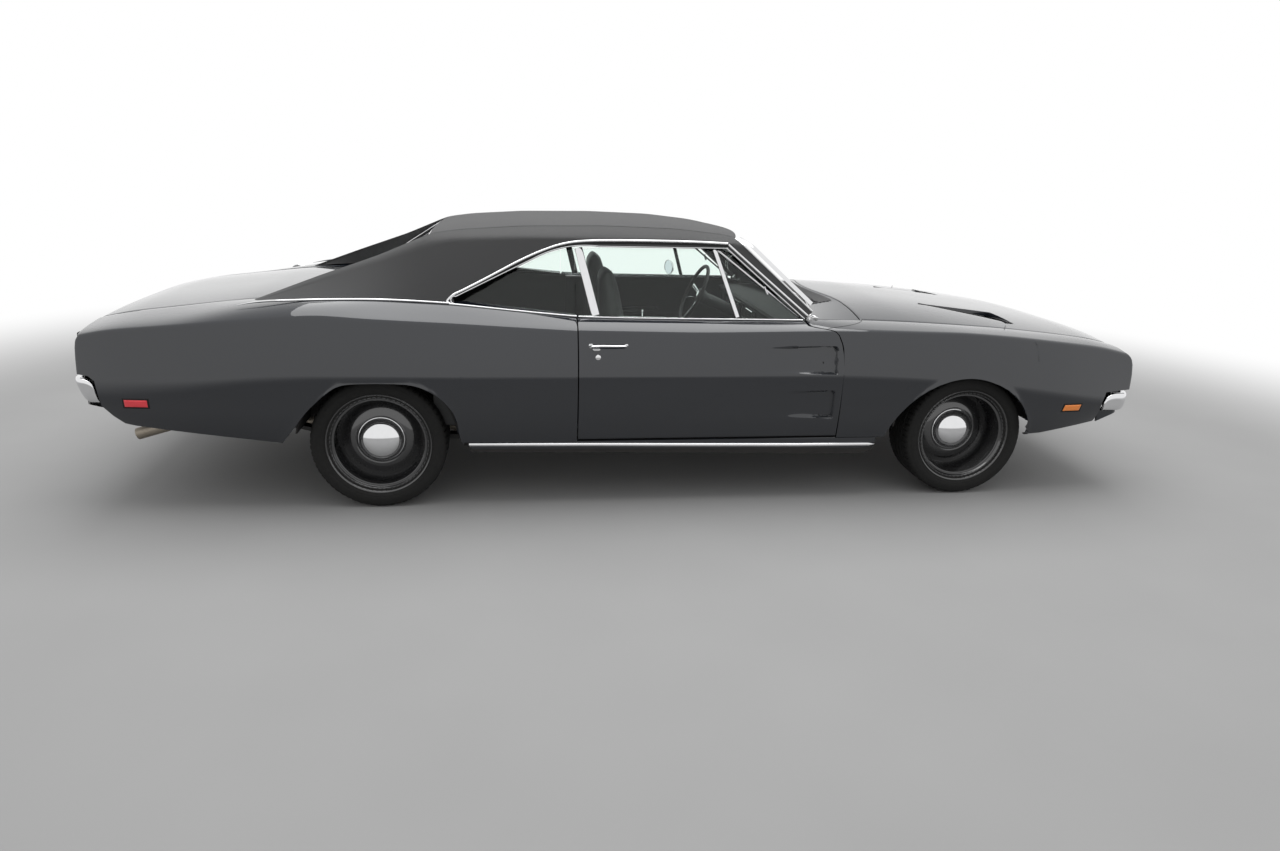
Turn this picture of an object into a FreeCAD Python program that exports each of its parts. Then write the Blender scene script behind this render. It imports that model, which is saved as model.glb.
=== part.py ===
"""A two-door hardtop muscle car of the late sixties, as an assembly of its real pieces.

Millimetres. X points to the nose, Y to the car's left, Z up. The origin is on the floor, under the
middle of the car's bounding box. Body panels are lofts through the stations of one table, cut where the
real panels meet; wheels, hinges, suspension and seats are drawn from the sizes in the sheet.
"""
import FreeCAD, Part
import math
import os
import re
import Sketcher

V = FreeCAD.Vector
doc = FreeCAD.newDocument("muscle_car")

# ---------------------------------------------------------------------------------------------- sizes
SIZES = (
    # alias, value, what it is
    ("half_length", 2641.5, "half the length over the bumpers"),
    ("wheelbase", 2972, "front axle to rear axle"),
    ("front_axle_x", 1675.5, "front axle from the middle of the car"),
    ("axle_height", 320, "wheel centre above the floor"),
    ("front_wheel_y", 763, "middle plane of a front wheel from the centreline"),
    ("rear_wheel_y", 770, "middle plane of a rear wheel from the centreline"),
    ("tyre_radius", 320, "outside radius of the tyre"),
    ("tyre_width", 244, "section width of the tyre"),
    ("tread_width", 200, "flat width of the tread"),
    ("tyre_wall", 12, "thickness of the tyre's carcass"),
    ("flange_radius", 247, "outside radius of the rim flange"),
    ("seat_radius", 229, "radius of the rim where the tyre's beads sit"),
    ("rim_width", 222, "width of the rim over its flanges"),
    ("flange_wall", 7, "thickness of the rim and its flanges"),
    ("front_dish", 138, "depth from the outer flange of a front wheel to its disc"),
    ("rear_dish", 93, "depth from the outer flange of a rear wheel to its disc"),
    ("disc_wall", 9, "thickness of the wheel disc"),
    ("cap_radius", 100, "radius of the hub cap"),
    ("cap_height", 38, "how far the hub cap stands out of the disc"),
    ("hub_radius", 60, "radius of the wheel's hub"),
    ("hub_inset", 60, "inner end of the hub from the wheel's middle plane"),
    ("spindle_radius", 31, "radius of the axle end inside the hub"),
    ("running_gap", 0.3, "clearance of a pin or spindle in its bore"),
    ("wheel_gap", 5, "gap between a hub and the plate behind it"),
    ("kingpin_inset", 90, "steering axis inboard of the front wheel's middle plane"),
    ("door_gap", 12, "gap round a door"),
    ("side_gap", 6, "gap beside the hood and the trunk lid"),
    ("seat_gap", 0.3, "gap between two fixed pieces that are bolted together"),
    ("door_wall", 110, "thickness of a whole door"),
    ("fender_wall", 14, "thickness of a front fender with its flanges"),
    ("quarter_wall", 34, "thickness of a quarter panel with its flanges"),
    ("lid_wall", 26, "thickness of the hood and the trunk lid with their inner frames"),
    ("roof_wall", 34, "thickness of the roof with its headlining"),
    ("pillar_wall", 46, "thickness of the pillars and rails"),
    ("glass_wall", 6, "thickness of the glass"),
    ("hinge_pin", 7, "radius of a hinge pin"),
    ("strap_wall", 12, "thickness of a door hinge's strap"),
    ("hood_half", 716, "half width of the hood"),
    ("scoop_depth", 20, "depth of a hood scoop at its inner front corner"),
    ("scoop_inner", 318, "inner side of a hood scoop from the centreline"),
    ("scoop_width", 282, "width of a hood scoop at its front"),
    ("scoop_rear", 1590, "rear tip of a hood scoop"),
    ("scoop_length", 440, "length of a hood scoop"),
    ("trunk_half", 590, "half width of the trunk lid"),
    ("door_front", 955, "front edge of the door"),
    ("door_rear", -346, "rear edge of the door"),
    ("door_foot", 346, "bottom edge of the door above the floor"),
    ("sill_top", 335, "top of the rocker"),
    ("floor_top", 300, "top of the cabin floor"),
    ("floor_wall", 24, "thickness of the cabin floor with its ribs and carpet"),
    ("floor_half", 779, "half width of the cabin floor between the rockers"),
    ("floor_front", 1000, "front end of the cabin floor"),
    ("floor_rear", -905, "rear end of the cabin floor"),
    ("sill_half", 908, "half width over the rockers"),
    ("tunnel_half", 130, "half width of the gearbox tunnel"),
    ("tunnel_height", 130, "height of the tunnel above the floor"),
    ("tunnel_wall", 12, "thickness of the tunnel"),
    ("trunk_floor", 520, "top of the trunk floor"),
    ("trunk_wall", 16, "thickness of the trunk floor"),
    ("trunk_front", -1200, "front end of the trunk floor"),
    ("trunk_rear", -2520, "rear end of the trunk floor"),
    ("rail_inner", 530, "inner face of a rear frame rail"),
    ("rail_width", 60, "width of a frame rail"),
    ("rail_height", 70, "height of a frame rail"),
    ("tub_radius", 372, "inside radius of a rear wheelhouse"),
    ("apron_radius", 400, "inside radius of a front wheelhouse"),
    ("house_wall", 8, "thickness of a wheelhouse"),
    ("front_rail_y", 400, "inner face of a front frame rail"),
    ("front_rail_z", 380, "bottom of a front frame rail"),
    ("front_rail_height", 100, "height of a front frame rail"),
    ("front_rail_end", 2440, "front end of the frame rails"),
    ("support_x", 2300, "rear face of the radiator support"),
    ("support_wall", 30, "thickness of the radiator support"),
    ("support_top", 740, "top of the radiator support"),
    ("engine_length", 640, "length of the engine"),
    ("engine_width", 520, "width of the engine"),
    ("engine_height", 400, "height of the engine"),
    ("engine_rear", 1060, "rear end of the engine"),
    ("tank_length", 430, "length of the fuel tank"),
    ("tank_width", 780, "width of the fuel tank"),
    ("tank_height", 190, "height of the fuel tank"),
    ("tank_rear", -2440, "rear end of the fuel tank"),
    ("axle_tube", 38, "radius of the rear axle's tubes"),
    ("axle_housing", 125, "radius of the rear axle's housing"),
    ("drum_radius", 118, "radius of a brake's backing plate"),
    ("drum_wall", 8, "thickness of a brake's backing plate"),
    ("spring_y", 560, "middle of a leaf spring from the centreline"),
    ("spring_width", 60, "width of a leaf spring"),
    ("spring_wall", 30, "thickness of the pack of leaves"),
    ("spring_reach", 640, "from the axle to either end of a leaf spring"),
    ("pipe_radius", 29, "radius of an exhaust pipe"),
    ("pipe_wall", 3, "thickness of an exhaust pipe"),
    ("dash_rear", 690, "rear face of the dashboard"),
    ("dash_foot", 690, "bottom of the dashboard"),
    ("dash_top", 890, "top of the dashboard"),
    ("dash_half", 720, "half width of the dashboard"),
    ("wheel_rim", 188, "radius of the steering wheel's rim"),
    ("wheel_grip", 11, "radius of the steering wheel's grip"),
    ("column_radius", 24, "radius of the steering column"),
    ("plate_bolts", 177.8, "distance between the licence plate's bolts"),
    ("plate_hole", 3.5, "radius of a licence plate's bolt hole"),
    ("seat_y", 375, "middle of a front seat from the centreline"),
    ("seat_half", 235, "half width of a front seat"),
)
sheet = doc.addObject("Spreadsheet::Sheet", "sizes")
for row, (alias, value, note) in enumerate(SIZES, 1):
    sheet.set(f"A{row}", note)
    sheet.set(f"B{row}", str(value))
    sheet.setAlias(f"B{row}", alias)
doc.recompute()


def size(alias):
    return float(sheet.get(alias))


HALF_LENGTH = size("half_length")
FRONT_AXLE = size("front_axle_x")
REAR_AXLE = FRONT_AXLE - size("wheelbase")
AXLE_Z = size("axle_height")
GAP = size("seat_gap")
RUN = size("running_gap")
PIN_R = size("hinge_pin")
SIDES = (("right", -1), ("left", 1))

# Outside of the fenders and doors, one row per station: where the side starts, its widest line, its
# shoulder and its top edge, each as a distance from the centreline and a height.
BODY = (
    # x, low_y, low_z, wide_y, wide_z, shoulder_y, shoulder_z, edge_y, edge_z
    (-352, 918, 335, 957, 656, 890, 878, 800, 926),
    (250, 916, 335, 950, 655, 888, 868, 800, 918),
    (810, 914, 335, 947, 655, 892, 880, 800, 914),
    (950, 914, 335, 948, 654, 896, 885, 760, 910),
    (1104, 914, 320, 950, 650, 900, 883, 722, 905),
    (1350, 914, 320, 953, 640, 903, 877, 722, 897),
    (1600, 913, 320, 955, 622, 903, 872, 722, 884),
    (1885, 908, 320, 951, 592, 896, 850, 722, 866),
    (2180, 896, 352, 935, 545, 880, 817, 722, 838),
    (2400, 878, 395, 910, 505, 858, 790, 722, 812),
    (2586, 850, 440, 878, 500, 846, 745, 722, 768),
)
# Outside of a quarter panel: as above, with the line the sail stands on, and the panel's inner edge.
QUARTER = (
    # x, low_y, low_z, wide_y, wide_z, shoulder_y, shoulder_z, sail_y, sail_z, edge_y, edge_z
    (-2574, 862, 500, 880, 590, 862, 835, 780, 855, 596, 872),
    (-2450, 882, 462, 906, 575, 882, 866, 790, 885, 596, 900),
    (-2150, 903, 400, 938, 600, 905, 893, 796, 918, 596, 936),
    (-1960, 910, 375, 951, 628, 908, 908, 800, 948, 596, 960),
    (-1880, 913, 366, 956, 640, 910, 914, 800, 962, 596, 968),
    (-1600, 919, 335, 967, 658, 914, 928, 800, 996, 596, 984),
    (-1500, 920, 335, 970, 659, 913, 927, 800, 998, 596, 990),
    (-1280, 921, 335, 973, 660, 912, 925, 800, 1002, 740, 1002),
    (-935, 920, 335, 969, 658, 900, 902, 800, 986, 748, 986),
    (-352, 918, 335, 957, 656, 890, 878, 800, 926, 748, 926),
)
# Middle of the hood and of the deck: edge height and crown height at each station.
HOOD = (
    # x, edge_z, crown_z
    (960, 912, 968),
    (1104, 905, 965),
    (1350, 897, 955),
    (1600, 884, 931),
    (1885, 866, 899),
    (2180, 838, 865),
    (2400, 812, 836),
    (2520, 785, 812),
    (2625, 752, 780),
)
DECK = (
    # x, edge_z, crown_z
    (-2574, 872, 886),
    (-2450, 900, 914),
    (-2150, 936, 950),
    (-1900, 965, 980),
    (-1620, 983, 998),
    (-1480, 991, 1006),
)
# Greenhouse: the rail above the side windows, the roof's seam or the sail's ridge, the inside foot of
# the sail, and the roof's centre height.
ROOF = (
    # x, rail_y, rail_z, seam_y, seam_z, foot_y, crown_z
    (-1886, 700, 958, 640, 962, 604, 1000),
    (-1580, 664, 1056, 604, 1078, 604, 1100),
    (-1290, 656, 1160, 592, 1182, 604, 1200),
    (-1044, 662, 1258, 578, 1288, 660, 1296),
    (-900, 665, 1270, 572, 1308, 748, 1324),
    (-600, 666, 1275, 566, 1330, 748, 1344),
    (-200, 666, 1277, 562, 1338, 748, 1351),
    (150, 664, 1275, 560, 1330, 748, 1344),
    (400, 660, 1270, 558, 1306, 748, 1320),
    (500, 656, 1262, 556, 1284, 748, 1300),
    (830, 648, 1240, 545, 1270, 748, 1290),
)


def at(table, x):
    """The table's columns at x, on straight lines between its stations."""
    rows = sorted(table)
    if x <= rows[0][0]:
        return rows[0][1:]
    for low, high in zip(rows, rows[1:]):
        if x <= high[0]:
            share = (x - low[0]) / (high[0] - low[0])
            return tuple(a + share * (b - a) for a, b in zip(low[1:], high[1:]))
    return rows[-1][1:]


def stations(table, first, last):
    """Both ends and every station of the table between them."""
    inner = [row[0] for row in sorted(table) if first + 5 < row[0] < last - 5]
    return [first, *inner, last]


# -------------------------------------------------------------------------------------------- builders
def section(x, points):
    """A closed outline of (y, z) points, standing at x."""
    loop = [V(x, y, z) for y, z in points]
    return Part.makePolygon(loop + loop[:1])


def loft(wires):
    return Part.makeLoft(wires, True, True)


def outline(start, *segments):
    """A closed wire of (a, b) points: a segment is a point, or (middle, point) for an arc. Drawn in XZ."""
    edges, here = [], start
    for item in segments + (start,):
        if isinstance(item[0], tuple):
            middle, there = item
            ends = [V(p[0], 0, p[1]) for p in (here, middle, there)]
            edges.append(Part.Arc(*ends).toShape())
        else:
            there = item
            if math.dist(here, there) > 0.01:
                edges.append(Part.makeLine(V(here[0], 0, here[1]), V(there[0], 0, there[1])))
        here = there
    return Part.Wire(edges)


def side_prism(wire, y_low, y_high):
    """A side outline, drawn in XZ, made solid from y_low to y_high."""
    face = Part.Face(wire)
    face.translate(V(0, y_low, 0))
    return face.extrude(V(0, y_high - y_low, 0))


def plan_prism(wire, z_low, z_high):
    """An outline drawn as (x, y), made solid from z_low to z_high."""
    face = Part.Face(wire)
    face.rotate(V(0, 0, 0), V(1, 0, 0), -90)
    face.translate(V(0, 0, z_low))
    return face.extrude(V(0, 0, z_high - z_low))


def block(x_low, x_high, y_low, y_high, z_low, z_high):
    y_low, y_high = sorted((y_low, y_high))
    return Part.makeBox(x_high - x_low, y_high - y_low, z_high - z_low, V(x_low, y_low, z_low))


def rod(start, end, radius):
    start, end = V(*start), V(*end)
    return Part.makeCylinder(radius, (end - start).Length, start, end - start)


def fused(first, *others):
    shape = first.fuse(list(others)) if others else first
    return shape.removeSplitter()


def rule(text):
    """An expression on the sheet's cells: each word in it is an alias."""
    return re.sub(r"([a-z][a-z_]+)", r"sizes.\1", text)


def box(x_low, x_high, y_low, y_high, z_low, z_high):
    """A Part::Box between six expressions."""
    thing = doc.addObject("Part::Box", "box")
    for prop, low, high in (("Length", x_low, x_high), ("Width", y_low, y_high), ("Height", z_low, z_high)):
        thing.setExpression(prop, rule(f"({high}) - ({low})"))
    for axis, low in zip("xyz", (x_low, y_low, z_low)):
        thing.setExpression(f"Placement.Base.{axis}", rule(low))
    return thing


def cylinder(x, y, z, radius, length, axis="z"):
    """A Part::Cylinder from a point along +X, +Y or +Z, all sizes as expressions."""
    thing = doc.addObject("Part::Cylinder", "cylinder")
    turns = {"x": FreeCAD.Rotation(V(0, 1, 0), 90), "y": FreeCAD.Rotation(V(1, 0, 0), -90)}
    thing.Placement = FreeCAD.Placement(V(), turns.get(axis, FreeCAD.Rotation()))
    thing.setExpression("Radius", rule(radius))
    thing.setExpression("Height", rule(length))
    for name, place in zip("xyz", (x, y, z)):
        thing.setExpression(f"Placement.Base.{name}", rule(place))
    return thing


def piece(shape):
    """A shape made with Part's own functions, as a document object."""
    thing = doc.addObject("Part::Feature", "shape")
    thing.Shape = shape
    return thing


def fuse(*things):
    thing = doc.addObject("Part::MultiFuse", "fuse")
    thing.Shapes = list(things)
    thing.Refine = True
    return thing


def cut(base, *tools):
    """The base less each tool in turn."""
    for tool in tools:
        thing = doc.addObject("Part::Cut", "cut")
        thing.Base, thing.Tool = base, tool
        base = thing
    return base


def mirrored(source):
    """The same piece on the car's other side."""
    thing = doc.addObject("Part::Mirroring", "mirror")
    thing.Source = source
    thing.Normal = V(0, 1, 0)
    return thing


def group(*things):
    """Pieces that don't touch, kept as one node."""
    thing = doc.addObject("Part::Compound", "group")
    thing.Links = list(things)
    return thing


def pair(source):
    return group(source, mirrored(source))


def profile(body, role, points):
    """A closed sketch on one of a body's planes, each corner held by two expressions."""
    plane = next(item for item in body.Origin.OriginFeatures if item.Role == role)
    sketch = body.newObject("Sketcher::SketchObject", "profile")
    sketch.AttachmentSupport = [(plane, "")]
    sketch.MapMode = "FlatFace"
    here = [V(sheet.evalExpression(rule(a)), sheet.evalExpression(rule(b)), 0) for a, b in points]
    for index, start in enumerate(here):
        sketch.addGeometry(Part.LineSegment(start, here[(index + 1) % len(here)]), False)
    for index in range(len(here)):
        following = (index + 1) % len(here)
        sketch.addConstraint(Sketcher.Constraint("Coincident", index, 2, following, 1))
        for kind, text, value in zip(("DistanceX", "DistanceY"), points[index], here[index]):
            place = sketch.addConstraint(Sketcher.Constraint(kind, -1, 1, index, 1, value))
            sketch.setExpression(f"Constraints[{place}]", rule(text))
    return sketch


def turned(points, x, y, z):
    """A body turned about its own Y axis from a profile of (along, radius) expressions."""
    body = doc.addObject("PartDesign::Body", "turned")
    sketch = profile(body, "YZ_Plane", points)
    spin = body.newObject("PartDesign::Revolution", "revolution")
    spin.Profile = sketch
    spin.ReferenceAxis = (sketch, ["H_Axis"])
    spin.Angle = 360
    for axis, text in zip("xyz", (x, y, z)):
        body.setExpression(f"Placement.Base.{axis}", rule(text))
    return body


def padded(points, y_low, y_high):
    """A body padded sideways between two expressions from a profile of (x, z) expressions."""
    body = doc.addObject("PartDesign::Body", "padded")
    sketch = profile(body, "XZ_Plane", points)
    pad = body.newObject("PartDesign::Pad", "pad")
    pad.Profile = sketch
    pad.Reversed = True
    pad.setExpression("Length", rule(f"({y_high}) - ({y_low})"))
    body.setExpression("Placement.Base.y", rule(y_low))
    return body


NODES = []


def node(label, thing):
    """Keeps a document object, or a bare shape, as the piece of this name."""
    if isinstance(thing, Part.Shape):
        thing = piece(thing)
    thing.Label = label
    NODES.append(thing)
    return thing


# --------------------------------------------------------------------------------------- body openings
FAR = 1100


def front_arch():
    """The front wheel's opening, out to the lip."""
    x, z = FRONT_AXLE, AXLE_Z
    return outline(
        (x - 480, z - 220), (x - 462, z - 20), ((x - 382, z + 165), (x - 178, z + 308)),
        ((x - 50, z + 330), (x + 80, z + 306)), ((x + 232, z + 215), (x + 330, z + 60)),
        (x + 318, z - 30), (x + 312, z - 220))


def rear_arch():
    """The rear wheel's opening, flat on top."""
    x, z = REAR_AXLE, AXLE_Z
    return outline(
        (x - 428, z - 220), (x - 428, z + 10), (x - 392, z + 72), (x - 352, z + 118),
        ((x - 270, z + 218), (x - 150, z + 306)), (x + 170, z + 308),
        ((x + 318, z + 232), (x + 378, z + 80)), (x + 392, z - 220))


DOOR_FRONT = size("door_front")
DOOR_REAR = size("door_rear")
DOOR_FOOT = size("door_foot")
DOOR_GAP = size("door_gap")
SILL_TOP = size("sill_top")


def door_outline(grow):
    """The door seen from the side, grown by a gap."""
    front, rear, foot = DOOR_FRONT + grow, DOOR_REAR - grow, DOOR_FOOT - grow
    return outline(
        (rear, foot), (front, foot), (front, 700), ((front - 12, 800), (front - 48, 884 + grow)),
        (front - 130, 892 + grow), (front - 175, 897 + grow), (front - 185, 1000), (rear, 1000))


# ------------------------------------------------------------------------------------------ side panels
def fender_points(x):
    """A front fender's section: up the outside from its foot to the hood's edge, and back inside."""
    low_y, low_z, wide_y, wide_z, sh_y, sh_z, edge_y, edge_z = at(BODY, x)
    wall = size("fender_wall")
    return ((-low_y, low_z), (-wide_y, wide_z), (-sh_y, sh_z), (-edge_y, edge_z), (-edge_y, edge_z - wall),
            (wall - sh_y, sh_z - wall), (wall - wide_y, wide_z), (wall - low_y, low_z))


def quarter_points(x):
    """A quarter panel's section, with the ledge that the sail and the trunk lid's gutter need."""
    low_y, low_z, wide_y, wide_z, sh_y, sh_z, sail_y, sail_z, edge_y, edge_z = at(QUARTER, x)
    wall = size("quarter_wall")
    return ((-low_y, low_z), (-wide_y, wide_z), (-sh_y, sh_z), (-sail_y, sail_z), (-edge_y, edge_z),
            (-edge_y, edge_z - wall), (20 - sail_y, sail_z - wall), (wall - sh_y, sh_z - wall),
            (wall - wide_y, wide_z), (wall - low_y, low_z))


fender = loft([section(x, fender_points(x)) for x in stations(BODY, 812, 2586)])
for cutter in (
        front_arch(), door_outline(DOOR_GAP),
        outline((2408, 200), (2400, 420), (2412, 506), (2430, 562), (2700, 572), (2700, 200)),
        outline((2500, 900), (2500, 800), (2560, 776), (2587, 735), (2600, 900)),
        outline((700, 200), (700, SILL_TOP + GAP), (1300, SILL_TOP + GAP), (1300, 200)),
        outline((1900, 200), (1990, 330), (2087, 339), (2258, 370), (2400, 396), (2700, 430), (2700, 200))):
    fender = fender.cut(side_prism(cutter, -FAR, FAR))
node("front_fenders", pair(piece(fender)))

quarter = loft([section(x, quarter_points(x)) for x in stations(QUARTER, -2574, DOOR_REAR - DOOR_GAP)])
for cutter in (
        rear_arch(),
        outline((-2700, 200), (-2700, 664), (-2530, 664), (-2504, 640), (-2490, 525), (-2449, 474),
                (-2408, 437), (-2364, 427), (-1705, 345), (-1705, 200)),
        outline((REAR_AXLE, 200), (REAR_AXLE, SILL_TOP + GAP), (-300, SILL_TOP + GAP), (-300, 200))):
    quarter = quarter.cut(side_prism(cutter, -FAR, FAR))
both_quarters = [quarter, quarter.mirror(V(0, 0, 0), V(0, 1, 0))]
node("quarter_panels", pair(piece(quarter)))

# ------------------------------------------------------------------------------------------------ doors
HINGE_X = DOOR_FRONT - 100
HINGE_Y = 912
HINGE_HEIGHTS = (450, 700)
STRAP = size("strap_wall")
NOTCH = STRAP + 2 * 7
PIN_REACH = 18
KICK_Y = 775


def door_points(x):
    """A door's section: the outside skin, the ledge that the glass stands on, and the inner trim."""
    low_y, low_z, wide_y, wide_z, sh_y, sh_z, edge_y, edge_z = at(BODY, x)
    wall = size("door_wall")
    share = (DOOR_FOOT - low_z) / (wide_z - low_z)
    foot_y = low_y + share * (wide_y - low_y)
    edge_y = 800
    return ((-foot_y, DOOR_FOOT), (-wide_y, wide_z), (-sh_y, sh_z), (-edge_y, edge_z), (52 - edge_y, edge_z),
            (wall - wide_y, wide_z), (wall - 20 - foot_y, DOOR_FOOT))


door = loft([section(x, door_points(x)) for x in stations(BODY, DOOR_REAR, DOOR_FRONT)])
door = door.common(side_prism(door_outline(0), -FAR, FAR))
# Two scoops pressed into the skin, each deep at its front end and run out behind.
for rear, outside, front_y, foot, top in ((455, -951, -922, 672, 806), (560, -949, -918, 446, 592)):
    door = door.cut(plan_prism(outline((rear, -1000), (rear, outside), (905, front_y), (912, -1000)), foot, top))
# The inner front corner, cut back so that it clears the hinge pillar as the door swings.
door = door.cut(plan_prism(outline((790, -600), (HINGE_X, -838), (980, -838), (980, -600)), 0, 1000))
for z in HINGE_HEIGHTS:
    door = door.cut(block(HINGE_X - 20, DOOR_FRONT + 30, -930, -700, z - NOTCH / 2, z + NOTCH / 2))
    door = door.cut(rod((HINGE_X, -HINGE_Y, z - NOTCH / 2 - PIN_REACH - RUN),
                        (HINGE_X, -HINGE_Y, z + NOTCH / 2 + PIN_REACH + RUN), PIN_R + RUN))
right_door = node("door_right", door)
node("door_left", mirrored(right_door))

straps = []
for z in HINGE_HEIGHTS:
    strap = block(HINGE_X - 12, HINGE_X + 12, -HINGE_Y - 6, -KICK_Y, z - STRAP / 2, z + STRAP / 2)
    pin = rod((HINGE_X, -HINGE_Y, z - NOTCH / 2 - PIN_REACH),
              (HINGE_X, -HINGE_Y, z + NOTCH / 2 + PIN_REACH), PIN_R)
    straps.append(piece(fused(strap, pin)))
node("door_hinges", group(*straps, *[mirrored(item) for item in straps]))


# ------------------------------------------------------------------------------------------ greenhouse
def frame_points(x):
    """Roof rail, pillar or sail: from the belt up to the roof's seam, and back down inside."""
    foot_z = (at(QUARTER, x)[7] if x < DOOR_REAR else 914) - 8
    rail_y, rail_z, seam_y, seam_z, foot_y, _ = at(ROOF, x)
    wall = min(size("roof_wall"), 0.5 * (seam_z - foot_z))
    return ((-800, foot_z), (-rail_y, rail_z), (-seam_y - GAP, seam_z), (-seam_y - GAP, seam_z - wall),
            (-foot_y, foot_z))


SIDE_FRAME = outline((-1886, 900), (-1886, 962), (-1580, 1080), (-1290, 1184), ((-1130, 1245), (-1044, 1292)),
                     (-1000, 1400), (445, 1400), (462, 1290), (826, 955), (814, 914 + GAP), (782, 914 + GAP),
                     (700, 905), (-926, 905))
SIDE_WINDOWS = outline((-926, 982), ((-944, 996), (-922, 1014)), (-560, 1186), ((-430, 1234), (-240, 1246)),
                       (398, 1246), (782, 919), (782, 860), (-926, 860))
sail = loft([section(x, frame_points(x)) for x in stations(ROOF, -1886, 826)])
sail = sail.common(side_prism(SIDE_FRAME, -FAR, FAR)).cut(side_prism(SIDE_WINDOWS, -FAR, FAR)).cut(quarter)
node("side_frames", pair(piece(sail)))


def roof_points(x):
    """The roof's section between its two seams."""
    _, _, seam_y, seam_z, _, crown_z = at(ROOF, x)
    wall = size("roof_wall")
    half = [(seam_y, seam_z), (seam_y * 0.55, crown_z - 4), (0, crown_z)]
    top = half + [(-y, z) for y, z in reversed(half[:-1])]
    return top + [(y, z - wall) for y, z in reversed(top)]


roof = loft([section(x, roof_points(x)) for x in stations(ROOF, -1062, 560)])
roof = roof.common(plan_prism(outline((-1040, -700), ((-1058, 0), (-1040, 700)), (455, 700),
                                      ((545, 0), (455, -700))), 1100, 1400))
node("roof_panel", roof)


def bow(side_x, middle_x, half, side_z, middle_z):
    """An arc across the car."""
    return Part.Arc(V(side_x, -half, side_z), V(middle_x, 0, middle_z), V(side_x, half, side_z)).toShape()


def crowned(table, first, last, half, wall):
    """A lid across the car, edge height and crown height from the table."""
    wires = []
    for x in stations(table, first, last):
        edge_z, crown_z = at(table, x)
        mid_z = edge_z + 0.75 * (crown_z - edge_z)
        top = [(half, edge_z), (0.62 * half, mid_z), (0, crown_z), (-0.62 * half, mid_z), (-half, edge_z)]
        wires.append(section(x, top + [(y, z - wall) for y, z in reversed(top)]))
    return loft(wires)


def crown_height(table, x, y, half):
    """How high that lid stands at a place in plan."""
    edge_z, crown_z = at(table, x)
    mid_z, share = edge_z + 0.75 * (crown_z - edge_z), abs(y) / half
    if share < 0.62:
        return crown_z - (crown_z - mid_z) * share / 0.62
    return mid_z - (mid_z - edge_z) * (share - 0.62) / 0.38


def wedge(tip, corner, outside, depth):
    """A pocket in the hood, three-cornered in plan, that sinks from its tip and outside to its corner."""
    low = [V(x, y, crown_height(HOOD, x, y, size("hood_half")) - drop)
           for (x, y), drop in ((tip, 0), (corner, depth), (outside, 0))]
    high = [V(point.x, point.y, 1100) for point in low]
    return loft([Part.makePolygon(wire + wire[:1]) for wire in (low, high)])


cowl = Part.makeRuledSurface(bow(822, 968, 735, 903, 934), bow(1088, 1030, 712, 888, 905))
cowl = cowl.extrude(V(0, 0, -18))
wing = block(798, 860, -762, -700, 904, 914)
cowl = cowl.fuse([wing, wing.mirror(V(0, 0, 0), V(0, 1, 0))]).removeSplitter()
node("cowl_panel", cowl)
deck = crowned(DECK, -1634, -1482, size("trunk_half"), 16)
node("rear_deck_panel", deck)

GLASS = size("glass_wall")
sails = [sail, sail.mirror(V(0, 0, 0), V(0, 1, 0))]
windshield = Part.makeRuledSurface(bow(822, 968, 742, 892, 924), bow(446, 540, 600, 1272, 1276))
windshield = windshield.extrude(V(-GLASS, 0, 0)).cut([*sails, roof, cowl])
rear_window = Part.makeRuledSurface(bow(-1490, -1500, 700, 984, 996), bow(-1050, -1054, 590, 1262, 1266))
rear_window = rear_window.extrude(V(GLASS, 0, 0)).cut([*sails, roof, deck, *both_quarters])


def pane(wire):
    """A flat side window, leaning in with the tumblehome."""
    low = section(-1000, ((-780, 900), (-780 + GLASS, 900), (-650 + GLASS, 1250), (-650, 1250)))
    high = section(900, ((-780, 900), (-780 + GLASS, 900), (-650 + GLASS, 1250), (-650, 1250)))
    return loft([low, high]).common(side_prism(wire, -FAR, FAR))


quarter_pane = pane(outline((-905, 983.2), (-556, 1176), ((-440, 1222), (-360, 1234)), (-360, 927.1)))
node("fixed_windows", group(piece(windshield), piece(rear_window), pair(piece(quarter_pane))))
door_pane = pane(outline((-340, 926.2), (-340, 1228), (-240, 1238), (390, 1238), (762, 914.7), (250, 918.3)))
right_glass = node("door_glass_right", door_pane)
node("door_glass_left", mirrored(right_glass))

# ------------------------------------------------------------------------------------------------- lids
HOOD_PIN = (1056, 908)
TRUNK_PIN = (-1500, 958)
hood = crowned(HOOD, 1000, 2600, size("hood_half"), size("lid_wall"))
HOOD_PLAN = outline((1104, -720), (1104, -420), ((1058, -200), (1040, 0)), ((1058, 200), (1104, 420)),
                    (1104, 720), (2530, 720), ((2598, 0), (2530, -720)))
hood = hood.common(plan_prism(HOOD_PLAN, 600, 1100))
SCOOP_Y, SCOOP_REAR = size("scoop_inner"), size("scoop_rear")
SCOOP_FRONT = SCOOP_REAR + size("scoop_length")
scoop = wedge((SCOOP_REAR, SCOOP_Y), (SCOOP_FRONT, SCOOP_Y), (SCOOP_FRONT, SCOOP_Y + size("scoop_width")),
              size("scoop_depth"))
hood = hood.cut([scoop, scoop.mirror(V(0, 0, 0), V(0, 1, 0))])
lug = side_prism(outline((1046, 900), (1066, 896), (1110, 935), (1052, 935)), 343, 355)
lug = lug.cut(rod((HOOD_PIN[0], 330, HOOD_PIN[1]), (HOOD_PIN[0], 370, HOOD_PIN[1]), PIN_R + RUN))
hood = hood.fuse([lug, lug.mirror(V(0, 0, 0), V(0, 1, 0))]).removeSplitter()
node("hood", hood)
bracket = side_prism(outline((1026 + GAP, 838), (1066, 838), (1066, 917), (1048, 917), (1048, 866),
                             (1026 + GAP, 866)), 326, 342)
pin = rod((HOOD_PIN[0], 334, HOOD_PIN[1]), (HOOD_PIN[0], 358, HOOD_PIN[1]), PIN_R)
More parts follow.
